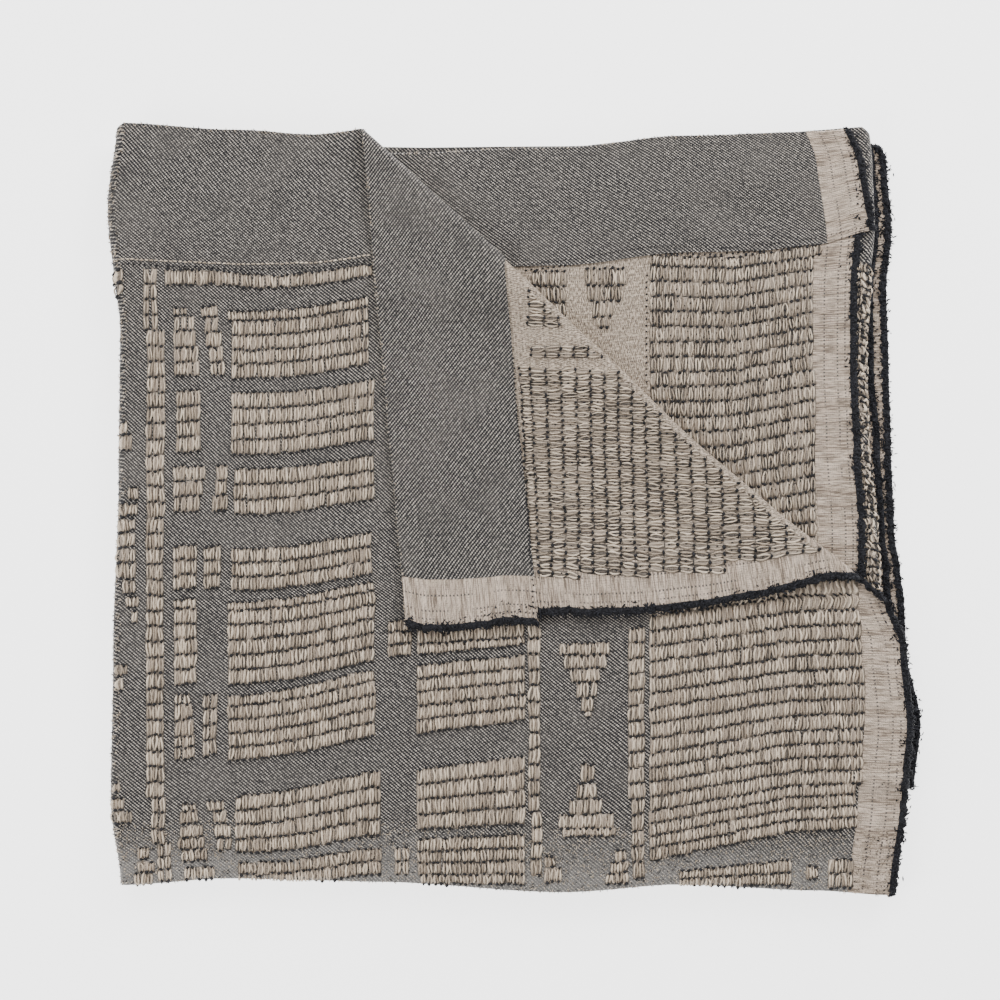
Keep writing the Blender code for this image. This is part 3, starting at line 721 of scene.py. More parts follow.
def turn_corner(sideways, height, offset):
    """Raises points of the top leaf from their place in the view and their offset from the leaf's
    middle, and turns back what lies past the slanting fold."""
    start, outward = turn_axes()
    past = past_turn(sideways, height)
    angle = np.clip(past / TURN_RADIUS, 0.0, math.pi)
    beyond = past - math.pi * TURN_RADIUS
    out = np.where(beyond > 0.0, -beyond, (TURN_RADIUS - offset) * np.sin(angle))
    settled = blend(2.0 * TURN_RADIUS, BODY_PITCH, ease(beyond / TURN_SETTLE)) - offset
    rolled = TURN_RADIUS - (TURN_RADIUS - offset) * np.cos(angle)
    turned = past > 0.0
    reach = (sideways - start[0]) * outward[1] - (height - start[1]) * outward[0]
    near = np.exp(-((past / TURN_BOW_FADE) ** 2))
    shift = np.where(turned, out - past, 0.0) - read_table(TURN_BOW, reach, 1) * near
    x = sideways + shift * outward[0]
    y = height + shift * outward[1]
    inside = np.maximum(read_table(RIGHT_SIDE, height, 1) - sideways, 0.0)
    fade = np.exp(-((inside / CORNER_SAG_FADE) ** 2)) * ease(past / TURN_SETTLE)
    y = y - np.where(turned, read_table(CORNER_SAG, x, 1) * fade, 0.0)
    lift = np.where(beyond > 0.0, settled + CORNER_LIFT * fade, rolled)
    return np.stack((x, y, top_height(x, y) + np.where(turned, lift, offset)), axis=-1)


def crease(x, y):
    """The creases' height at places in the view."""
    total = 0.0
    for x0, y0, x1, y1, width, height in np.array(CREASES) * MM:
        run = np.array((x1 - x0, y1 - y0))
        share = ((x - x0) * run[0] + (y - y0) * run[1]) / (run @ run)
        nearest = np.clip(share, 0.0, 1.0)
        away = np.hypot(x - x0 - nearest * run[0], y - y0 - nearest * run[1])
        total = total + height * np.exp(-((away / width) ** 2))
    return total


def settle(places):
    """Lets the packet rise and sink a little, leaves its underside flat and centres it."""
    x, y, z = places[..., 0], places[..., 1], places[..., 2]
    wave = np.sin(x / SWELL_SIDEWAYS + SWELL_PHASES[0])
    wave = wave * np.sin(y / SWELL_UPWARD + SWELL_PHASES[1])
    wave = wave + 0.5 * np.sin((x + y) / SWELL_SLANTING)
    z = z + (SWELL * wave + crease(x, y) / PACKET_HEIGHT) * np.maximum(z - SHEET, 0.0)
    return np.stack((x + CENTRE_SHIFT[0], y + CENTRE_SHIFT[1], z), axis=-1)


def is_top_leaf(across, along):
    return (along > LEAF_START - TINY) & (across < PANEL + TINY)


def lay(across, along, offset):
    """Carries points of the flat cloth to their place, but for the top leaf, whose points are laid
    level and wait for turn_corner."""
    up, height, top_leaf, hem = halve(across, along, offset)
    panel, share, fold_share = place_in_zigzag(across)
    past = np.maximum(np.maximum(-across, across - FULL_WIDTH), 0.0)
    sideways, upward = plan_place(panel, share, up, top_leaf, hem, past)
    flat = np.stack((sideways, upward, zigzag_height(panel, up, height)), axis=-1)
    bent = np.stack(
        fold_place(np.minimum(panel, PANELS - 2), fold_share, up, height, top_leaf), axis=-1
    )
    laid = settle(np.where((fold_share >= 0.0)[..., None], bent, flat))
    level = np.stack((sideways, upward, height - stacking(up)[0]), axis=-1)
    return np.where(is_top_leaf(across, along)[..., None], level, laid)


def on_cloth(across, along, offset):
    """Where points of the flat cloth end up. An offset above 0 is on the dark face's side."""
    across, along, offset = np.broadcast_arrays(across, along, offset)
    laid = lay(across, along, offset)
    turned = settle(turn_corner(laid[..., 0], laid[..., 1], laid[..., 2]))
    return np.where(is_top_leaf(across, along)[..., None], turned, laid)


# Meshes


def even_lines(start, end, cells):
    """Places from start to end, one more than the cells between them."""
    return [blend(start, end, step / cells) for step in range(cells + 1)]


def lines_across():
    """The cloth's lengthwise lines: close in the topmost panel and round each fold."""
    lines = []
    for panel in range(PANELS):
        start = panel * (PANEL + FOLD_WIDTH)
        cells = TOP_PANEL_CELLS if panel == 0 else LOWER_PANEL_CELLS
        lines += even_lines(start, start + PANEL, cells)
        if panel < PANELS - 1:
            lines += even_lines(start + PANEL, start + PANEL + FOLD_WIDTH, FOLD_CELLS)[1:-1]
    return lines


def lines_along():
    """The cloth's crosswise lines, the same on both sides of its middle."""
    half = even_lines(0.0, LEAF_START, BOTTOM_CELLS)[1:]
    half += even_lines(LEAF_START, HEM_START, LEAF_CELLS)[1:]
    half += even_lines(HEM_START, HEM_TURNED, HEM_FOLD_CELLS)[1:]
    half += even_lines(HEM_TURNED, HALF_LENGTH, HEM_CELLS)[1:]
    return [-line for line in half[::-1]] + [0.0] + half


def flat_cloth():
    """The flat cloth as a closed slab that keeps its flat place in its UV map."""
    across, along = lines_across(), lines_along()
    spans = (len(across) - 1, len(along) - 1)
    shape = bmesh.new()
    bmesh.ops.create_grid(shape, x_segments=spans[0], y_segments=spans[1], size=0.5)
    for point in shape.verts:
        column = round((point.co.x + 0.5) * spans[0])
        row = round((point.co.y + 0.5) * spans[1])
        point.co = (across[column], along[row], SHEET / 2.0)
    flat = shape.loops.layers.uv.new("flat")
    for face in shape.faces:
        for corner in face.loops:
            corner[flat].uv = corner.vert.co.xy
    under = bmesh.ops.extrude_face_region(shape, geom=shape.faces[:], use_keep_orig=True)["geom"]
    under = [item for item in under if isinstance(item, bmesh.types.BMFace)]
    points = list({point for face in under for point in face.verts})
    bmesh.ops.translate(shape, vec=(0.0, 0.0, -SHEET), verts=points)
    bmesh.ops.recalc_face_normals(shape, faces=shape.faces[:])
    for face in shape.faces:
        if abs(face.normal.z) < 0.5:
            face.material_index = 2
        else:
            face.material_index = 0 if face.normal.z > 0.0 else 1
    return shape


def cut_top_leaf(shape, faces):
    """Cuts the level top leaf along the slanting fold, close where it rolls over."""
    roll = math.pi * TURN_RADIUS
    distances = even_lines(0.0, roll, TURN_CELLS)
    distances += even_lines(roll, roll + TURN_SETTLE, SETTLE_CELLS)[1:]
    start, outward = turn_axes()
    for distance in distances:
        place = start + distance * outward
        edges = {edge for face in faces for edge in face.edges}
        points = {point for face in faces for point in face.verts}
        result = bmesh.ops.bisect_plane(
            shape,
            geom=list(faces) + list(edges) + list(points),
            dist=TINY,
            plane_co=(*place, 0.0),
            plane_no=(*outward, 0.0),
        )
        faces = [item for item in result["geom"] if isinstance(item, bmesh.types.BMFace)]
    return faces


def move_points(points, places):
    """Moves a mesh's points to their new places."""
    for point, place in zip(points, places):
        point.co = place


def fold_cloth(shape):
    """Folds the flat slab into the packet."""
    top_faces = []
    for face in shape.faces:
        middle = face.calc_center_median()
        if is_top_leaf(middle.x, middle.y):
            top_faces.append(face)
    points = shape.verts[:]
    flat = np.array([point.co for point in points])
    move_points(points, lay(flat[:, 0], flat[:, 1], flat[:, 2]))
    top_faces = cut_top_leaf(shape, top_faces)
    points = list({point for face in top_faces for point in face.verts})
    level = np.array([point.co for point in points])
    move_points(points, settle(turn_corner(level[:, 0], level[:, 1], level[:, 2])))
    # The slab's across runs against the view's sideways, which turned the faces in
    bmesh.ops.reverse_faces(shape, faces=shape.faces[:])


def add_object(name, mesh, material_names):
    """Adds a visible piece of the throw."""
    for material in material_names:
        mesh.materials.append(bpy.data.materials[material])
    thing = bpy.data.objects.new(name, mesh)
    bpy.context.scene.collection.objects.link(thing)
    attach(thing, "root")
    return thing


def add_cloth():
    """The whole cloth: its dark face, its reverse and its rim."""
    shape = flat_cloth()
    fold_cloth(shape)
    mesh = bpy.data.meshes.new("cloth")
    shape.to_mesh(mesh)
    shape.free()
    mesh.shade_smooth()
    mesh.set_sharp_from_angle(angle=math.radians(60))
    cloth = add_object("cloth", mesh, ("dark_twill", "pale_back", "dark_twill"))
    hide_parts("throw_cloth")
    return cloth


def strand_template(sides, lengths):
    """A slim closed strand, one unit long and one unit thick, as its points and faces."""
    shape = bmesh.new()
    bmesh.ops.create_cone(
        shape, cap_ends=True, segments=sides, radius1=0.5, radius2=0.5, depth=1.0
    )
    for step in range(1, lengths):
        bmesh.ops.bisect_plane(
            shape,
            geom=shape.verts[:] + shape.edges[:] + shape.faces[:],
            dist=TINY,
            plane_co=(0.0, 0.0, step / lengths - 0.5),
            plane_no=(0.0, 0.0, 1.0),
        )
    points = np.array([point.co for point in shape.verts])
    shape.verts.index_update()
    faces = [[point.index for point in face.verts] for face in shape.faces]
    shape.free()
    return points, faces


def joined_mesh(name, places, faces, tones):
    """One mesh of many small like pieces: places holds each one's points."""
    count, size = places.shape[:2]
    lengths = [len(face) for face in faces]
    corners = np.array([corner for face in faces for corner in face])
    corners = (corners[None, :] + size * np.arange(count)[:, None]).ravel()
    starts = np.concatenate(([0], np.cumsum(lengths)[:-1]))
    starts = (starts[None, :] + sum(lengths) * np.arange(count)[:, None]).ravel()
    mesh = bpy.data.meshes.new(name)
    mesh.vertices.add(count * size)
    mesh.vertices.foreach_set("co", places.ravel())
    mesh.loops.add(len(corners))
    mesh.loops.foreach_set("vertex_index", corners)
    mesh.polygons.add(len(starts))
    mesh.polygons.foreach_set("loop_start", starts)
    mesh.update(calc_edges=True)
    tone = mesh.attributes.new("tone", "FLOAT", "POINT")
    tone.data.foreach_set("value", np.repeat(tones.ravel(), size))
    mesh.shade_smooth()
    return mesh


# From the view to the flat cloth


def top_leaf_flat(x, y):
    """The flat place of what lies at a place in the view, on the topmost leaf's dark face. Past the
    left edge it runs on round the fold."""
    right = right_edge(0, y, 1.0, 0.0)
    left = left_edge(0, y)
    bottom, top = leaf_ends(0, x, 1.0)
    up = LEAF * (y - bottom) / (top - bottom)
    spread, double = stacking(up)
    round_fold = np.arcsin(np.clip((left - x) / (double / 2.0 + spread + SHEET), 0.0, 1.0))
    across = PANEL * np.minimum((right - x) / (right - left), 1.0)
    return across + FOLD_WIDTH * round_fold / math.pi, LEAF_START + up


def under_leaf_flat(x, y):
    """The same on the leaf below it, whose reverse faces up."""
    right = right_edge(0, y, 0.0, 0.0)
    left = left_edge(0, y)
    bottom, top = leaf_ends(0, x, 0.0)
    across = PANEL * (right - x) / (right - left)
    return across, -LEAF_START - LEAF * (y - bottom) / (top - bottom)


def corner_flat(x, y):
    """The same on the turned corner."""
    outward = turn_axes()[1]
    back = math.pi * TURN_RADIUS - 2.0 * past_turn(x, y)
    return top_leaf_flat(x + back * outward[0], y + back * outward[1])


def on_hem(to_flat):
    """The same on the turned hem that lies over that leaf's reverse."""

    def hem_flat(x, y):
        across, along = to_flat(x, y)
        reach = HEM_TURNED + (HEM_START - np.abs(along)) / drawn_hem(across, along)
        return across, np.sign(along) * reach

    return hem_flat


# Floats


def block_lines(block, lies_sideways):
    """The lines between a block's rows, each from its near end to its far end."""
    near, far, first_near, last_near, first_far, last_far, rows = block
    lines = []
    for line in range(rows + 1):
        start = (near, blend(first_near, last_near, line / rows))
        end = (far, blend(first_far, last_far, line / rows))
        lines.append((start[::-1], end[::-1]) if lies_sideways else (start, end))
    return np.array(lines) * MM


def apart(places, others, gap):
    """The places that keep a gap from all the others."""
    if not len(others):
        return places
    away = np.linalg.norm(places[:, None] - others[None], axis=2).min(axis=1)
    return places[away > gap]


def trim_to_turn(starts, ends):
    """Keeps the floats that start on the turned corner and ends them at the slanting fold."""
    first, last = past_turn(*starts.T), past_turn(*ends.T)
    share = first / np.where(last > 0.0, first - last, first)
    kept = (first < 0.0) & (share > SHORTEST_FLOAT)
    return starts[kept], blend(starts, ends, share[:, None])[kept]


def chart_floats(blocks, lies_sideways, sag, to_flat):
    """Every float pair's starts, its ends and every tie, as places on the flat cloth."""
    starts, ends, ties = [], [], np.zeros((0, 2))
    for block in blocks:
        lines = block_lines(block, lies_sideways)
        width = np.linalg.norm(lines[0, 1] - lines[0, 0])
        pairs = max(round(width / PAIR_PITCH), 1)
        shares = (np.arange(pairs) + 0.5) / pairs
        grid = blend(lines[:, None, 0], lines[:, None, 1], shares[None, :, None])
        grid[..., 1] -= read_table(sag, grid[..., 0], 1)
        grid = jitter(grid, CHART_STRAY)
        starts.append(grid[:-1].reshape(-1, 2))
        ends.append(grid[1:].reshape(-1, 2))
        ties = np.concatenate((ties, apart(grid.reshape(-1, 2), ties, TIE_GAP)))
    starts, ends = np.concatenate(starts), np.concatenate(ends)
    if lies_sideways:
        starts, ends = trim_to_turn(starts, ends)
        ties = ties[past_turn(*ties.T) < TIE_PAST_TURN]
    return [np.stack(to_flat(*part.T), axis=-1) for part in (starts, ends, ties)]


def chart_rim():
    """The same for the right-hand fold between the second and third panels."""
    fold = 2.0 * PANEL + FOLD_WIDTH
    across = np.arange(fold - RIM_START, fold + FOLD_WIDTH, RIM_PITCH)
    along = -np.arange(RIM_ROW, HEM_START - RIM_STOP, RIM_ROW)
    grid = jitter(np.stack(np.meshgrid(across, along), axis=-1), RIM_STRAY)
    return [part.reshape(-1, 2) for part in (grid[:-1], grid[1:], grid)]


def lay_strands(template, starts, ends, shape, face_side=1.0):
    """Lays one strand between each start and end on the flat cloth. shape gives, from the share
    along the strand, its sideways place, its height above the face, its width and its depth."""
    points, faces = template
    share = points[:, 2] + 0.5
    sideways, lift, width, depth = shape(share[None, :])
    run = ends - starts
    length = np.linalg.norm(run, axis=1, keepdims=True)
    run = run / length
    normal = np.stack((-run[:, 1], run[:, 0]), axis=-1)
    aside = sideways + width * points[None, :, 0]
    across = starts[:, :1] + run[:, :1] * length * share + normal[:, :1] * aside
    along = starts[:, 1:] + run[:, 1:] * length * share + normal[:, 1:] * aside
    offset = face_side * (SHEET / 2.0 + lift + depth * points[None, :, 1])
    return on_cloth(across, along, offset)


def arched(count, lowest, highest, width, depth, lean):
    """The shape of short strands that arch over the face, each a little different. All is in mm."""
    height = vary(count, lowest, highest) * MM
    sizes = vary(count, 0.8, 1.2) * MM
    slant = lean * vary(count, -1.0, 1.0) * MM

    def shape(share):
        arch = np.sin(math.pi * share)
        girth = sizes * (0.45 + 0.55 * np.sqrt(arch))
        return slant * (share - 0.5), height * (0.3 + 0.7 * arch), width * girth, depth * girth

    return shape


def float_shape(count, side, slim):
    """The shape of one side's floats in their pairs, bowed away from each other."""
    bow = vary(count, FLOAT_BOWS[0], FLOAT_BOWS[1] + SLIM_BOW * slim) * MM
    meet = vary(count, *FLOAT_MEETS) * MM
    lean = vary(count, *FLOAT_LEANS) * MM
    height = vary(count, *FLOAT_HEIGHTS) * MM
    width = FLOAT_THICKNESS * vary(count, *FLOAT_WIDTHS) * (1.0 - SLIM_WIDTH * slim)
    peak = vary(count, *FLOAT_PEAKS)

    def shape(share):
        arch = np.sin(math.pi * share ** (np.log(0.5) / np.log(peak)))
        return (
            side * (meet + bow * arch) + lean * (share - 0.5),
            FLOAT_BASE + height * arch,
            width * (0.5 + 0.5 * arch),
            width * (0.5 + 0.4 * arch),
        )

    return shape


def bed_shape(share):
    """The flat bed of short yarns under a pair of floats; its finish carries painted shade."""
    return 0.0 * share, BED_LIFT, PAIR_PITCH, BED_DEPTH


def add_joined(name, places, faces, material):
    """Adds many small like pieces as one, each with a tone of its own."""
    mesh = joined_mesh(name, places, faces, random.random(len(places)))
    return add_object(name, mesh, (material,))


def add_knots(name, starts, ends, ties, face_side, shade_speck_count):
    """The black ties between the rows of floats, the thin dashes between them and the dark specks
    among the floats, partly dark yarn and partly painted shade between them, in one joined piece."""
    template = strand_template(4, 3)
    knots = jitter(thin_out(ties, KNOT_SHARE), KNOT_STRAY)
    reach = np.pad(vary(len(knots), *KNOT_REACHES) * MM, ((0, 0), (0, 1)))
    shape = arched(len(knots), *KNOT_ARCH)
    places = [lay_strands(template, knots - reach, knots + reach, shape, face_side)]
    dashes = jitter(thin_out(ties, DASH_SHARE), DASH_STRAY)
    reach = np.array((DASH_REACH, 0.0))
    shape = arched(len(dashes), *DASH_ARCH)
    places.append(lay_strands(template, dashes - reach, dashes + reach, shape, face_side))
    # Dark specks among the floats: partly dark yarn, partly painted shade between them
    for _ in range(shade_speck_count):
        picked = random.random(len(starts)) < SHADE_SPECK_SHARE
        specks = blend(starts[picked], ends[picked], vary(np.sum(picked), *SHADE_SPECK_PLACES))
        specks = jitter(specks, SHADE_SPECK_STRAY)
        reach = np.array((0.0, SHADE_SPECK_REACH))
        shape = arched(len(specks), *SHADE_SPECK_ARCH)
        places.append(lay_strands(template, specks - reach, specks + reach, shape, face_side))
    return add_joined(name, np.concatenate(places), template[1], "black_yarn")


def add_floats(name, chart, face_side, bed, slim, shade_speck_count):
    """The pale floats of one face in two joined pieces, their bed, whose darker colour is partly
    painted shade between the floats, and their black ties. slim is 0 for full floats and 1 for the
    slimmest."""
    starts, ends, ties = chart
    template = strand_template(4, 4)
    pieces = []
    for side, half in ((-1.0, "near"), (1.0, "far")):
        inset = (ends - starts) * FLOAT_INSET
        near = jitter(starts + inset, FLOAT_STRAY)
        far = jitter(ends - inset, FLOAT_STRAY)
        shape = float_shape(len(near), side, slim)
        places = lay_strands(template, near, far, shape, face_side)
        pieces.append(add_joined(f"{name}_{half}", places, template[1], "pale_yarn"))
    slab = strand_template(4, 3)
    places = lay_strands(slab, starts, ends, bed_shape, face_side)
    pieces.append(add_joined(f"{name}_bed", places, slab[1], bed))
    pieces.append(add_knots(f"{name}_ties", starts, ends, ties, face_side, shade_speck_count))
    return pieces


def along_line(line, pitch, shift):
    """Evenly spaced places along a charted line in the view, moved up or down by shift."""
    line = np.array(line, dtype=float) * MM
    gaps = np.linalg.norm(np.diff(line, axis=0), axis=1)
    reach = np.concatenate(([0.0], np.cumsum(gaps)))
    places = np.arange(0.5, reach[-1] / pitch) * pitch
    x = np.interp(places, reach, line[:, 0])
    return x, np.interp(places, reach, line[:, 1]) + shift


under_hem_flat = on_hem(under_leaf_flat)
corner_hem_flat = on_hem(corner_flat)

# Stitched and dotted lines. Columns: name, charted line, its leaf, the face's side, the pitch, how
# far up it is moved, a stitch's length and width, in mm, and its yarn.
LINES = (
    ("top_hem_stitches", TOP_HEM_STITCHES, top_leaf_flat, 1.0, 3.1, 0.0, 2.4, 1.1, "pale_yarn"),
    ("top_hem_dots", TOP_HEM_STITCHES, top_leaf_flat, 1.0, 3.6, -3.2, 1.6, 1.3, "black_yarn"),
    ("under_hem_stitches", UNDER_HEM_STITCHES, under_hem_flat, 1.0, 2.6, 0.0, 0.9, 0.8, "black_yarn"),
    ("under_hem_dots", UNDER_HEM_STITCHES, under_leaf_flat, -1.0, 3.6, -4.2, 1.6, 1.2, "black_yarn"),
    ("corner_hem_dots", CORNER_HEM_STITCHES, corner_hem_flat, 1.0, 3.3, 0.0, 1.3, 1.2, "black_yarn"),
)

# The last columns for the lines of dots on the leaf below
UNDER_DOTS = (under_leaf_flat, -1.0, 4.0, 0.0, 1.5, 1.3, "black_yarn")


def add_line(name, line, to_flat, face_side, pitch, shift, length, width, material):
    """A line of stitches or dots as one piece."""
    template = strand_template(5, 4)
    x, y = along_line(line, pitch * MM, shift * MM)
    centres = jitter(np.stack(to_flat(x, y), axis=-1), STITCH_STRAY)
    reach = np.array((length * MM / 2.0, 0.0))
    shape = arched(len(centres), *STITCH_HEIGHTS, width, STITCH_DEPTH * width, 0.0)
    places = lay_strands(template, centres - reach, centres + reach, shape, face_side)
    return add_joined(name, places, template[1], material)


def add_all_lines():
    """The hems' stitches and dots, and the dotted lines on the leaf below."""
    pieces = [add_line(*line) for line in LINES]
    for index, line in enumerate(UNDER_DOT_LINES):
        pieces.append(add_line(f"under_dots_{index}", line, *UNDER_DOTS))
    return pieces


# Edgings and fuzz


def waves(place, sizes):
    """The sum of waves of a size, a rate and a phase each."""
    return sum(size * MM * np.sin(place * rate + phase) for size, rate, phase in sizes)


def add_core(name, middle):
    """The soft core of an edging."""
    template = strand_template(8, EDGING_LENGTHS)
    starts = np.array(((middle, -HALF_LENGTH),))
    ends = np.array(((middle, HALF_LENGTH),))

    def shape(share):
        wobble = waves(share, EDGING_WAVES)
        width = EDGING_WIDTH + EDGING_SPREAD * wobble
        return wobble, -SHEET / 2.0, width, EDGING_DEPTH + wobble

    places = lay_strands(template, starts, ends, shape)
    return add_joined(name, places, template[1], "edging_yarn")


def add_tufts(name, middle):
    """The short black tufts over an edging's core."""
    template = strand_template(3, 2)
    along = vary(TUFTS, -HALF_LENGTH, HALF_LENGTH)[:, 0]
    aside = random.normal(0.0, TUFT_STRAY, TUFTS)
    for size, length, phase in TUFT_CLUMPS:
        aside = aside + size * MM * np.sin(along / (length * MM) + phase)
    centres = np.stack((middle + aside, along), axis=-1)
    angle = random.normal(0.0, TUFT_TURN, TUFTS)
    direction = np.stack((np.cos(angle), np.sin(angle)), axis=-1)
    reach = 0.5 * vary(TUFTS, *TUFT_LENGTHS) * MM * direction
    height = random.normal(0.0, TUFT_RISE, (TUFTS, 1))
    height = height + np.sign(height) * TUFT_LIFT
    width = vary(TUFTS, *TUFT_WIDTHS) * MM

    def shape(share):
        arch = np.sin(math.pi * share)
        thick = width * (0.4 + 0.6 * arch)
        return 0.0, -SHEET / 2.0 + height * (0.5 + 0.5 * arch), thick, thick

    places = lay_strands(template, centres - reach, centres + reach, shape)
    return add_joined(name, places, template[1], "edging_yarn")


def add_edging(name, node, selvedge, outward):
    """An overlocked edge: a soft core with short black tufts over it."""
    middle = selvedge + outward * EDGING_MIDDLE
    edging = add_core(name, middle)
    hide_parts(node)
    return [edging, add_tufts(f"{name}_tufts", middle)]


def add_fuzz(name, places, material):
    """Short fine hairs that stand off the dark face at places on the flat cloth."""
    template = strand_template(3, 1)
    count = len(places)
    angle = vary(count, 0.0, 2.0 * math.pi)[:, 0]
    direction = np.stack((np.cos(angle), np.sin(angle)), axis=-1)
    reach = vary(count, *HAIR_LENGTHS) * MM * direction
    height = vary(count, *HAIR_HEIGHTS) * MM

    def shape(share):
        thick = HAIR_THICKNESS * (1.0 - 0.5 * share)
        return 0.0, height * share, thick, thick

    hairs = lay_strands(template, places, places + reach, shape)
    return add_joined(name, hairs, template[1], material)


def add_all_fuzz():
    """Hairs on the rims that show: leaf ends, the folds at the left, and the bottom fold."""
    rim = vary(SIDE_HAIRS, HEM_START - END_FUZZ, HEM_TURNED)
    rim = rim * np.where(random.random((SIDE_HAIRS, 1)) < 0.5, 1.0, -1.0)
    ends = (vary(SIDE_HAIRS, 0.0, PANEL), rim)
    left = (
        vary(SIDE_HAIRS, PANEL + LEFT_FUZZ[0], PANEL + LEFT_FUZZ[1]),
        vary(SIDE_HAIRS, 0.0, HEM_START),
    )
    bottom = (
        vary(BOTTOM_HAIRS, 0.0, PANEL),
        vary(BOTTOM_HAIRS, -LEAF_START, BOTTOM_FUZZ),
    )
    places = np.concatenate([np.hstack(part) for part in (ends, left, bottom)])
    pale = random.random(len(places)) < PALE_SHARE
    return [
        add_fuzz("pale_fuzz", places[pale], "pale_yarn"),
        add_fuzz("dark_fuzz", places[~pale], "black_yarn"),
    ]


# Materials


class Finish:
    """A material and short ways to wire its nodes."""

    def __init__(self, name, roughness):
        self.material = bpy.data.materials.new(name)
        self.material.use_nodes = True
        self.tree = self.material.node_tree
        self.shader = self.tree.nodes["Principled BSDF"]
        self.shader.inputs["Roughness"].default_value = roughness

    def add(self, kind, **inputs):
        node = self.tree.nodes.new(kind)
        for name, value in inputs.items():
            self.feed(node.inputs[name], value)
        return node

    def feed(self, socket, value):
        """Links a node's output to the socket, or sets a plain value."""
        if isinstance(value, bpy.types.NodeSocket):
            self.tree.links.new(value, socket)
        else:
            socket.default_value = value

    def maths(self, operation, first, second=0.0, third=0.0):
        node = self.tree.nodes.new("ShaderNodeMath")
        node.operation = operation
        for socket, value in zip(node.inputs, (first, second, third)):
            self.feed(socket, value)
        return node.outputs[0]

    def step(self, value, low, high):
        """0 below low and 1 above high, or the other way round where low is the greater."""
        node = self.tree.nodes.new("ShaderNodeMapRange")
        node.interpolation_type = "SMOOTHSTEP"
        ends = (low, high, 0.0, 1.0) if low < high else (high, low, 1.0, 0.0)
        for socket, given in zip(node.inputs, (value, *ends)):
            self.feed(socket, given)
        return node.outputs[0]

    def mix(self, share, first, second):
        """The first colour, or the second where share is 1."""
        node = self.tree.nodes.new("ShaderNodeMix")
        node.data_type = "RGBA"
        self.feed(node.inputs[0], share)
        for socket, value in zip(node.inputs[6:8], (first, second)):
            self.feed(socket, (*value, 1.0) if isinstance(value, tuple) else value)
        return node.outputs[2]

    def noise(self, scale, detail=2.0, vector=None):
        node = self.add("ShaderNodeTexNoise", Scale=scale, Detail=detail)
        if vector is None:
            vector = self.tree.nodes.new("ShaderNodeTexCoord").outputs["Object"]
        self.feed(node.inputs["Vector"], vector)
        return node.outputs[0]

    def flat_place(self):
        """The place on the flat cloth: across and along, in metres."""
        place = self.tree.nodes.new("ShaderNodeUVMap")
        place.uv_map = "flat"
        parts = self.add("ShaderNodeSeparateXYZ", Vector=place.outputs[0])
        return place.outputs[0], parts.outputs[0], parts.outputs[1]

    def tone(self):
        """The tone that each strand has of its own."""
        node = self.tree.nodes.new("ShaderNodeAttribute")
        node.attribute_name = "tone"
        return node.outputs["Fac"]

    def colour(self, value):
        self.feed(self.shader.inputs["Base Color"], value)

    def bump(self, height, depth):
        node = self.add("ShaderNodeBump", Height=height, Distance=depth, Strength=1.0)
        self.feed(self.shader.inputs["Normal"], node.outputs[0])

    def sheen(self, weight):
        self.shader.inputs["Sheen Weight"].default_value = weight
        self.shader.inputs["Sheen Roughness"].default_value = 0.5


def strip_share(finish, across):
    """1 on the plain strip beside each selvedge."""
    first = finish.step(across, STRIP_WIDTH + STRIP_BLUR, STRIP_WIDTH - STRIP_BLUR)
    inner = FULL_WIDTH - STRIP_WIDTH
    last = finish.step(across, inner - STRIP_BLUR, inner + STRIP_BLUR)
    return finish.maths("MAXIMUM", first, last)


def cell(finish, place, size):
    """A yarn's number and the place across it, from -0.5 to 0.5."""
    counted = finish.maths("DIVIDE", place, size)
    middle = finish.maths("SUBTRACT", finish.maths("FRACT", counted), 0.5)
    return finish.maths("FLOOR", counted), middle


def distance(finish, x, y, squash=1.0):
    """The distance from a yarn's middle, with y squashed."""
    y = finish.maths("MULTIPLY", y, squash)
    square = finish.maths("MULTIPLY", y, y)
    return finish.maths("SQRT", finish.maths("MULTIPLY_ADD", x, x, square))


def dark_specks(finish, x, y, radius, worn, strength, squash=1.0):
    """One speck in the middle of each cell, worn away in places."""
    specks = finish.step(distance(finish, x, y, squash), radius, 0.1)
    return finish.maths("MULTIPLY", specks, finish.maths("MULTIPLY", worn, strength))


def streaks(finish, across, along, stretch_across, stretch_along, scale):
    """Noise drawn out along the yarns."""
    x = finish.maths("MULTIPLY", across, stretch_across)
    y = finish.maths("MULTIPLY", along, stretch_along)
    stretched = finish.add("ShaderNodeCombineXYZ", X=x, Y=y)
    return finish.noise(scale, 2.0, stretched.outputs[0])


def slub_lines(finish, across, along, size):
    """0 to 1, in uneven lines along the yarns that cross the strips."""
    noise = streaks(finish, across, along, 0.07, 1.0, 1.0 / size)
    return finish.step(noise, 0.38, 0.58)


def dotted_line(finish, across, along, reach):
    """A worn dotted line at one distance from the selvedge."""
    off = finish.maths("ABSOLUTE", finish.maths("SUBTRACT", across, reach))
    dots = finish.step(finish.maths("ABSOLUTE", cell(finish, along, DOT_PITCH)[1]), 0.32, 0.12)
    worn = finish.step(finish.noise(60.0), 0.33, 0.5)
    line = finish.maths("MULTIPLY", finish.step(off, *DOT_EDGES), dots)
    return finish.maths("MULTIPLY", line, finish.maths("MULTIPLY", worn, 0.95))


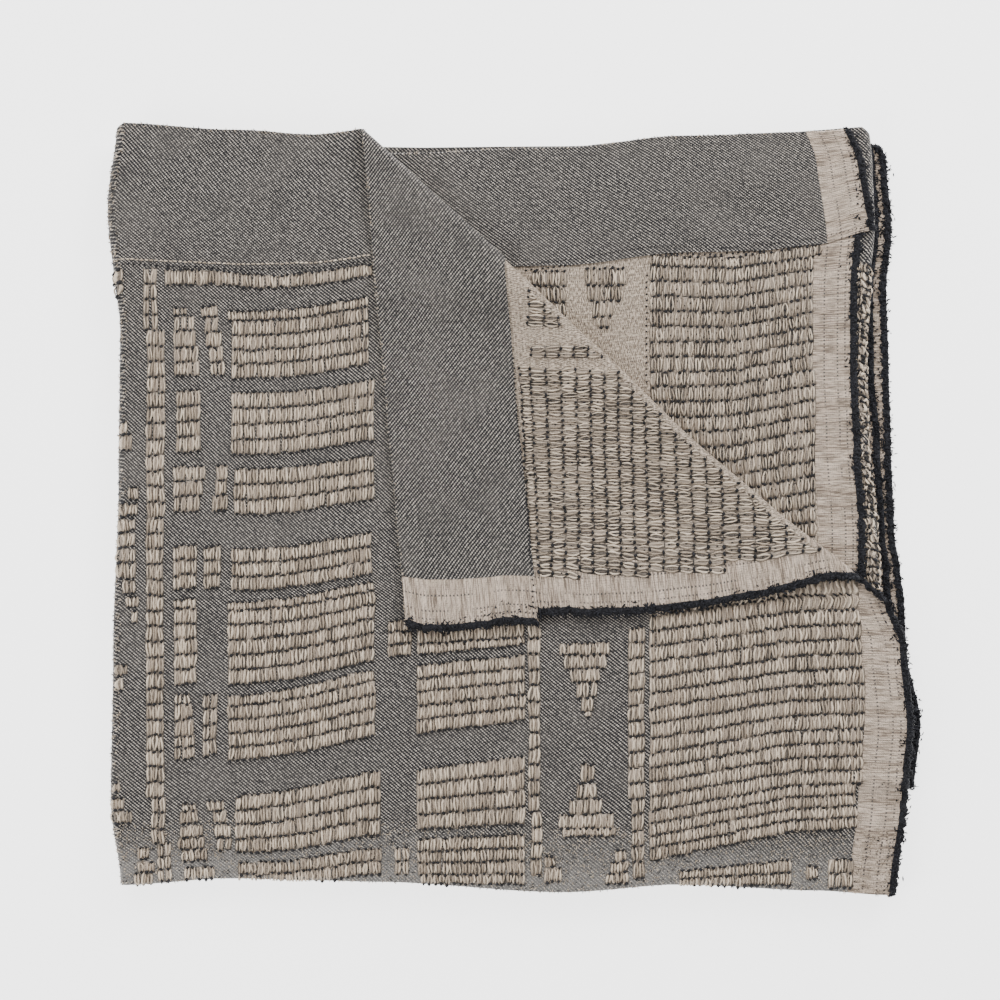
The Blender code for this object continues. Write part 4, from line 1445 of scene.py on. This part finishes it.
def strip_colour(finish, across, along):
    """Plain beige weave with uneven lines, dark specks and faint dotted lines, and its fine lines."""
    fine = slub_lines(finish, across, along, FINE_LINES)
    broad = slub_lines(finish, across, along, BROAD_LINES)
    beige = finish.mix(fine, *STRIP_BEIGE)
    light = finish.mix(fine, *STRIP_LIGHT)
    beige = finish.mix(broad, beige, light)
    x = cell(finish, across, STRIP_SPECKS[0])[1]
    y = cell(finish, along, STRIP_SPECKS[1])[1]
    worn = finish.step(finish.noise(600.0), 0.45, 0.62)
    beige = finish.mix(dark_specks(finish, x, y, 0.38, worn, 0.7), beige, STRIP_SPECK)
    for reach in DOTTED_LINES:
        beige = finish.mix(dotted_line(finish, across, along, reach), beige, STRIP_DOT)
    return beige, fine


def twill(finish, place, across, along):
    """Slanting rows of pale dots, 0 to 1, and each place's distance from its yarn's middle. The
    rows waver a little."""
    waver = finish.maths("SUBTRACT", finish.noise(40.0, 2.0, place), 0.5)
    across = finish.maths("MULTIPLY_ADD", waver, THREAD_WAVER, across)
    across = finish.maths("MULTIPLY_ADD", along, THREAD_SLANT, across)
    column, x = cell(finish, across, THREAD_ACROSS)
    row, y = cell(finish, along, THREAD_ALONG)
    turn = finish.maths("FLOORED_MODULO", finish.maths("ADD", column, row), 2.0)
    shows = finish.maths("LESS_THAN", turn, 0.9)
    lengthwise = finish.maths("MULTIPLY", finish.maths("ADD", x, y), 0.5)
    crosswise = finish.maths("MULTIPLY", finish.maths("SUBTRACT", x, y), 1.05)
    away = distance(finish, lengthwise, crosswise)
    swollen = finish.maths("MULTIPLY_ADD", finish.noise(380.0, 2.0, place), 0.7, 0.14)
    dots = finish.step(finish.maths("SUBTRACT", away, swollen), 0.05, -0.16)
    return finish.maths("MULTIPLY", shows, dots), away


def dark_twill():
    """The dark face: twill with faded and worn patches, black slubs and painted sheen at the bottom
    fold, a pale haze that stands in for light on the fuzz where the cloth turns down.
    """
    finish = Finish("dark_twill", 0.9)
    place, across, along = finish.flat_place()
    dots, away = twill(finish, place, across, along)
    ink = finish.step(finish.noise(700.0, 2.0, place), 0.35, 0.65)
    ink = finish.mix(ink, *TWILL_INK)
    pale = finish.step(finish.noise(420.0, 2.0, place), 0.35, 0.65)
    pale = finish.mix(pale, *TWILL_PALE)
    colour = finish.mix(dots, ink, pale)
    for scale, low, high, share, patch in TWILL_PATCHES:
        shows = finish.step(finish.noise(scale, 3.0, place), low, high)
        colour = finish.mix(finish.maths("MULTIPLY", shows, share), colour, patch)
    # Painted sheen: a pale haze over the dark face near the bottom fold, standing in for light on the
    # fuzz
    painted_sheen = finish.step(finish.maths("ABSOLUTE", along), PAINTED_SHEEN_START, PAINTED_SHEEN_FULL)
    colour = finish.mix(finish.maths("MULTIPLY", painted_sheen, PAINTED_SHEEN_SHARE), colour, FOLD_PAINTED_SHEEN)
    slubs = finish.step(streaks(finish, across, along, 0.3, 1.0, 420.0), 0.66, 0.72)
    colour = finish.mix(finish.maths("MULTIPLY", slubs, SLUB_SHARE), colour, TWILL_SLUB)
    strip, fine = strip_colour(finish, across, along)
    finish.colour(finish.mix(strip_share(finish, across), colour, strip))
    height = finish.maths("MULTIPLY_ADD", dots, 0.9, finish.maths("MULTIPLY", fine, 0.6))
    finish.bump(finish.maths("MULTIPLY_ADD", away, -0.5, height), WEAVE_DEPTH)
    finish.sheen(0.15)


def pale_back():
    """The reverse: a beige grain with slanting rows of dark specks."""
    finish = Finish("pale_back", 0.85)
    place, across, along = finish.flat_place()
    grain = finish.step(streaks(finish, across, along, 1.0, 0.3, 1300.0), 0.36, 0.62)
    pale = finish.mix(grain, *BACK_PALE)
    slanting = finish.maths("MULTIPLY_ADD", along, BACK_SLANT, across)
    x = cell(finish, slanting, BACK_SPECKS[0])[1]
    y = cell(finish, along, BACK_SPECKS[1])[1]
    worn = finish.step(finish.noise(450.0, 2.0, place), 0.4, 0.56)
    back = finish.mix(dark_specks(finish, x, y, 0.4, worn, 0.8, 0.8), pale, BACK_SPECK)
    strip, fine = strip_colour(finish, across, along)
    finish.colour(finish.mix(strip_share(finish, across), back, strip))
    finish.bump(finish.maths("ADD", grain, fine), WEAVE_DEPTH)
    finish.sheen(0.1)


def yarn(name, dark, light, lumps, depth):
    finish = Finish(name, 0.85)
    own = finish.maths("MULTIPLY", finish.tone(), 0.5)
    shade = finish.maths("MULTIPLY_ADD", finish.noise(1500.0), 0.7, own)
    finish.colour(finish.mix(finish.step(shade, 0.25, 0.95), dark, light))
    finish.bump(finish.noise(lumps), depth)


def floor_finish():
    finish = Finish("pale_floor", 0.9)
    finish.shader.inputs["Emission Color"].default_value = WHITE
    finish.shader.inputs["Emission Strength"].default_value = FLOOR_GLOW
    finish.colour(finish.mix(finish.noise(3.0), *FLOOR))


def add_finishes():
    dark_twill()
    pale_back()
    floor_finish()
    for row in YARNS:
        yarn(*row)


# Studio


def add_floor():
    shape = bmesh.new()
    bmesh.ops.create_grid(shape, x_segments=1, y_segments=1, size=FLOOR_SIZE)
    mesh = bpy.data.meshes.new("floor")
    shape.to_mesh(mesh)
    shape.free()
    mesh.materials.append(bpy.data.materials["pale_floor"])
    floor = bpy.data.objects.new("floor", mesh)
    bpy.context.scene.collection.objects.link(floor)


def add_light(name, place, size, power):
    """A square light that faces the origin."""
    light = bpy.data.lights.new(name, "AREA")
    light.size = size
    light.energy = power
    thing = bpy.data.objects.new(name, light)
    thing.location = place
    thing.rotation_euler = (-thing.location).to_track_quat("-Z", "Y").to_euler()
    bpy.context.scene.collection.objects.link(thing)


def add_camera():
    """A camera that looks straight down."""
    camera = bpy.data.cameras.new("camera")
    camera.lens = CAMERA_LENS
    camera.sensor_width = CAMERA_SENSOR
    camera.clip_end = CAMERA_CLIP_END
    thing = bpy.data.objects.new("camera", camera)
    thing.location = CAMERA_PLACE
    bpy.context.scene.collection.objects.link(thing)
    bpy.context.scene.camera = thing


def add_studio():
    add_floor()
    for row in LIGHTS:
        add_light(*row)
    world = bpy.data.worlds.new("studio")
    world.use_nodes = True
    background = world.node_tree.nodes["Background"]
    background.inputs[0].default_value = WHITE
    background.inputs[1].default_value = WORLD_STRENGTH
    bpy.context.scene.world = world
    add_camera()


def add_all_floats():
    """The floats of the top face, the leaf below it, the turned corner and the right-hand fold."""
    top = chart_floats(TOP_BLOCKS, False, ROW_SAG, top_leaf_flat)
    under = chart_floats(UNDER_BLOCKS, False, LEVEL, under_leaf_flat)
    corner = chart_floats(CORNER_BLOCKS, True, LEVEL, corner_flat)
    # The beds' finishes carry painted shade between the floats, deeper on the reverse and the rim
    pieces = add_floats("top_floats", top, 1.0, "ground_with_painted_shade_yarn", 0.0, 0)
    pieces += add_floats("under_floats", under, -1.0, "ground_with_deep_painted_shade_yarn", 0.7, 1)
    pieces += add_floats("corner_floats", corner, -1.0, "ground_with_deep_painted_shade_yarn", 0.7, 1)
    return pieces + add_floats("rim_floats", chart_rim(), 1.0, "ground_with_deep_painted_shade_yarn", 1.0, 2)


def main():
    add_finishes()
    cloth = add_cloth()
    with_cloth = add_all_floats() + add_all_lines()
    with_cloth += add_edging("edging_first", "edging_first", 0.0, -1.0)
    with_cloth += add_edging("edging_second", "edging_second", FULL_WIDTH, 1.0)
    with_cloth += add_all_fuzz()
    add_studio()


main()
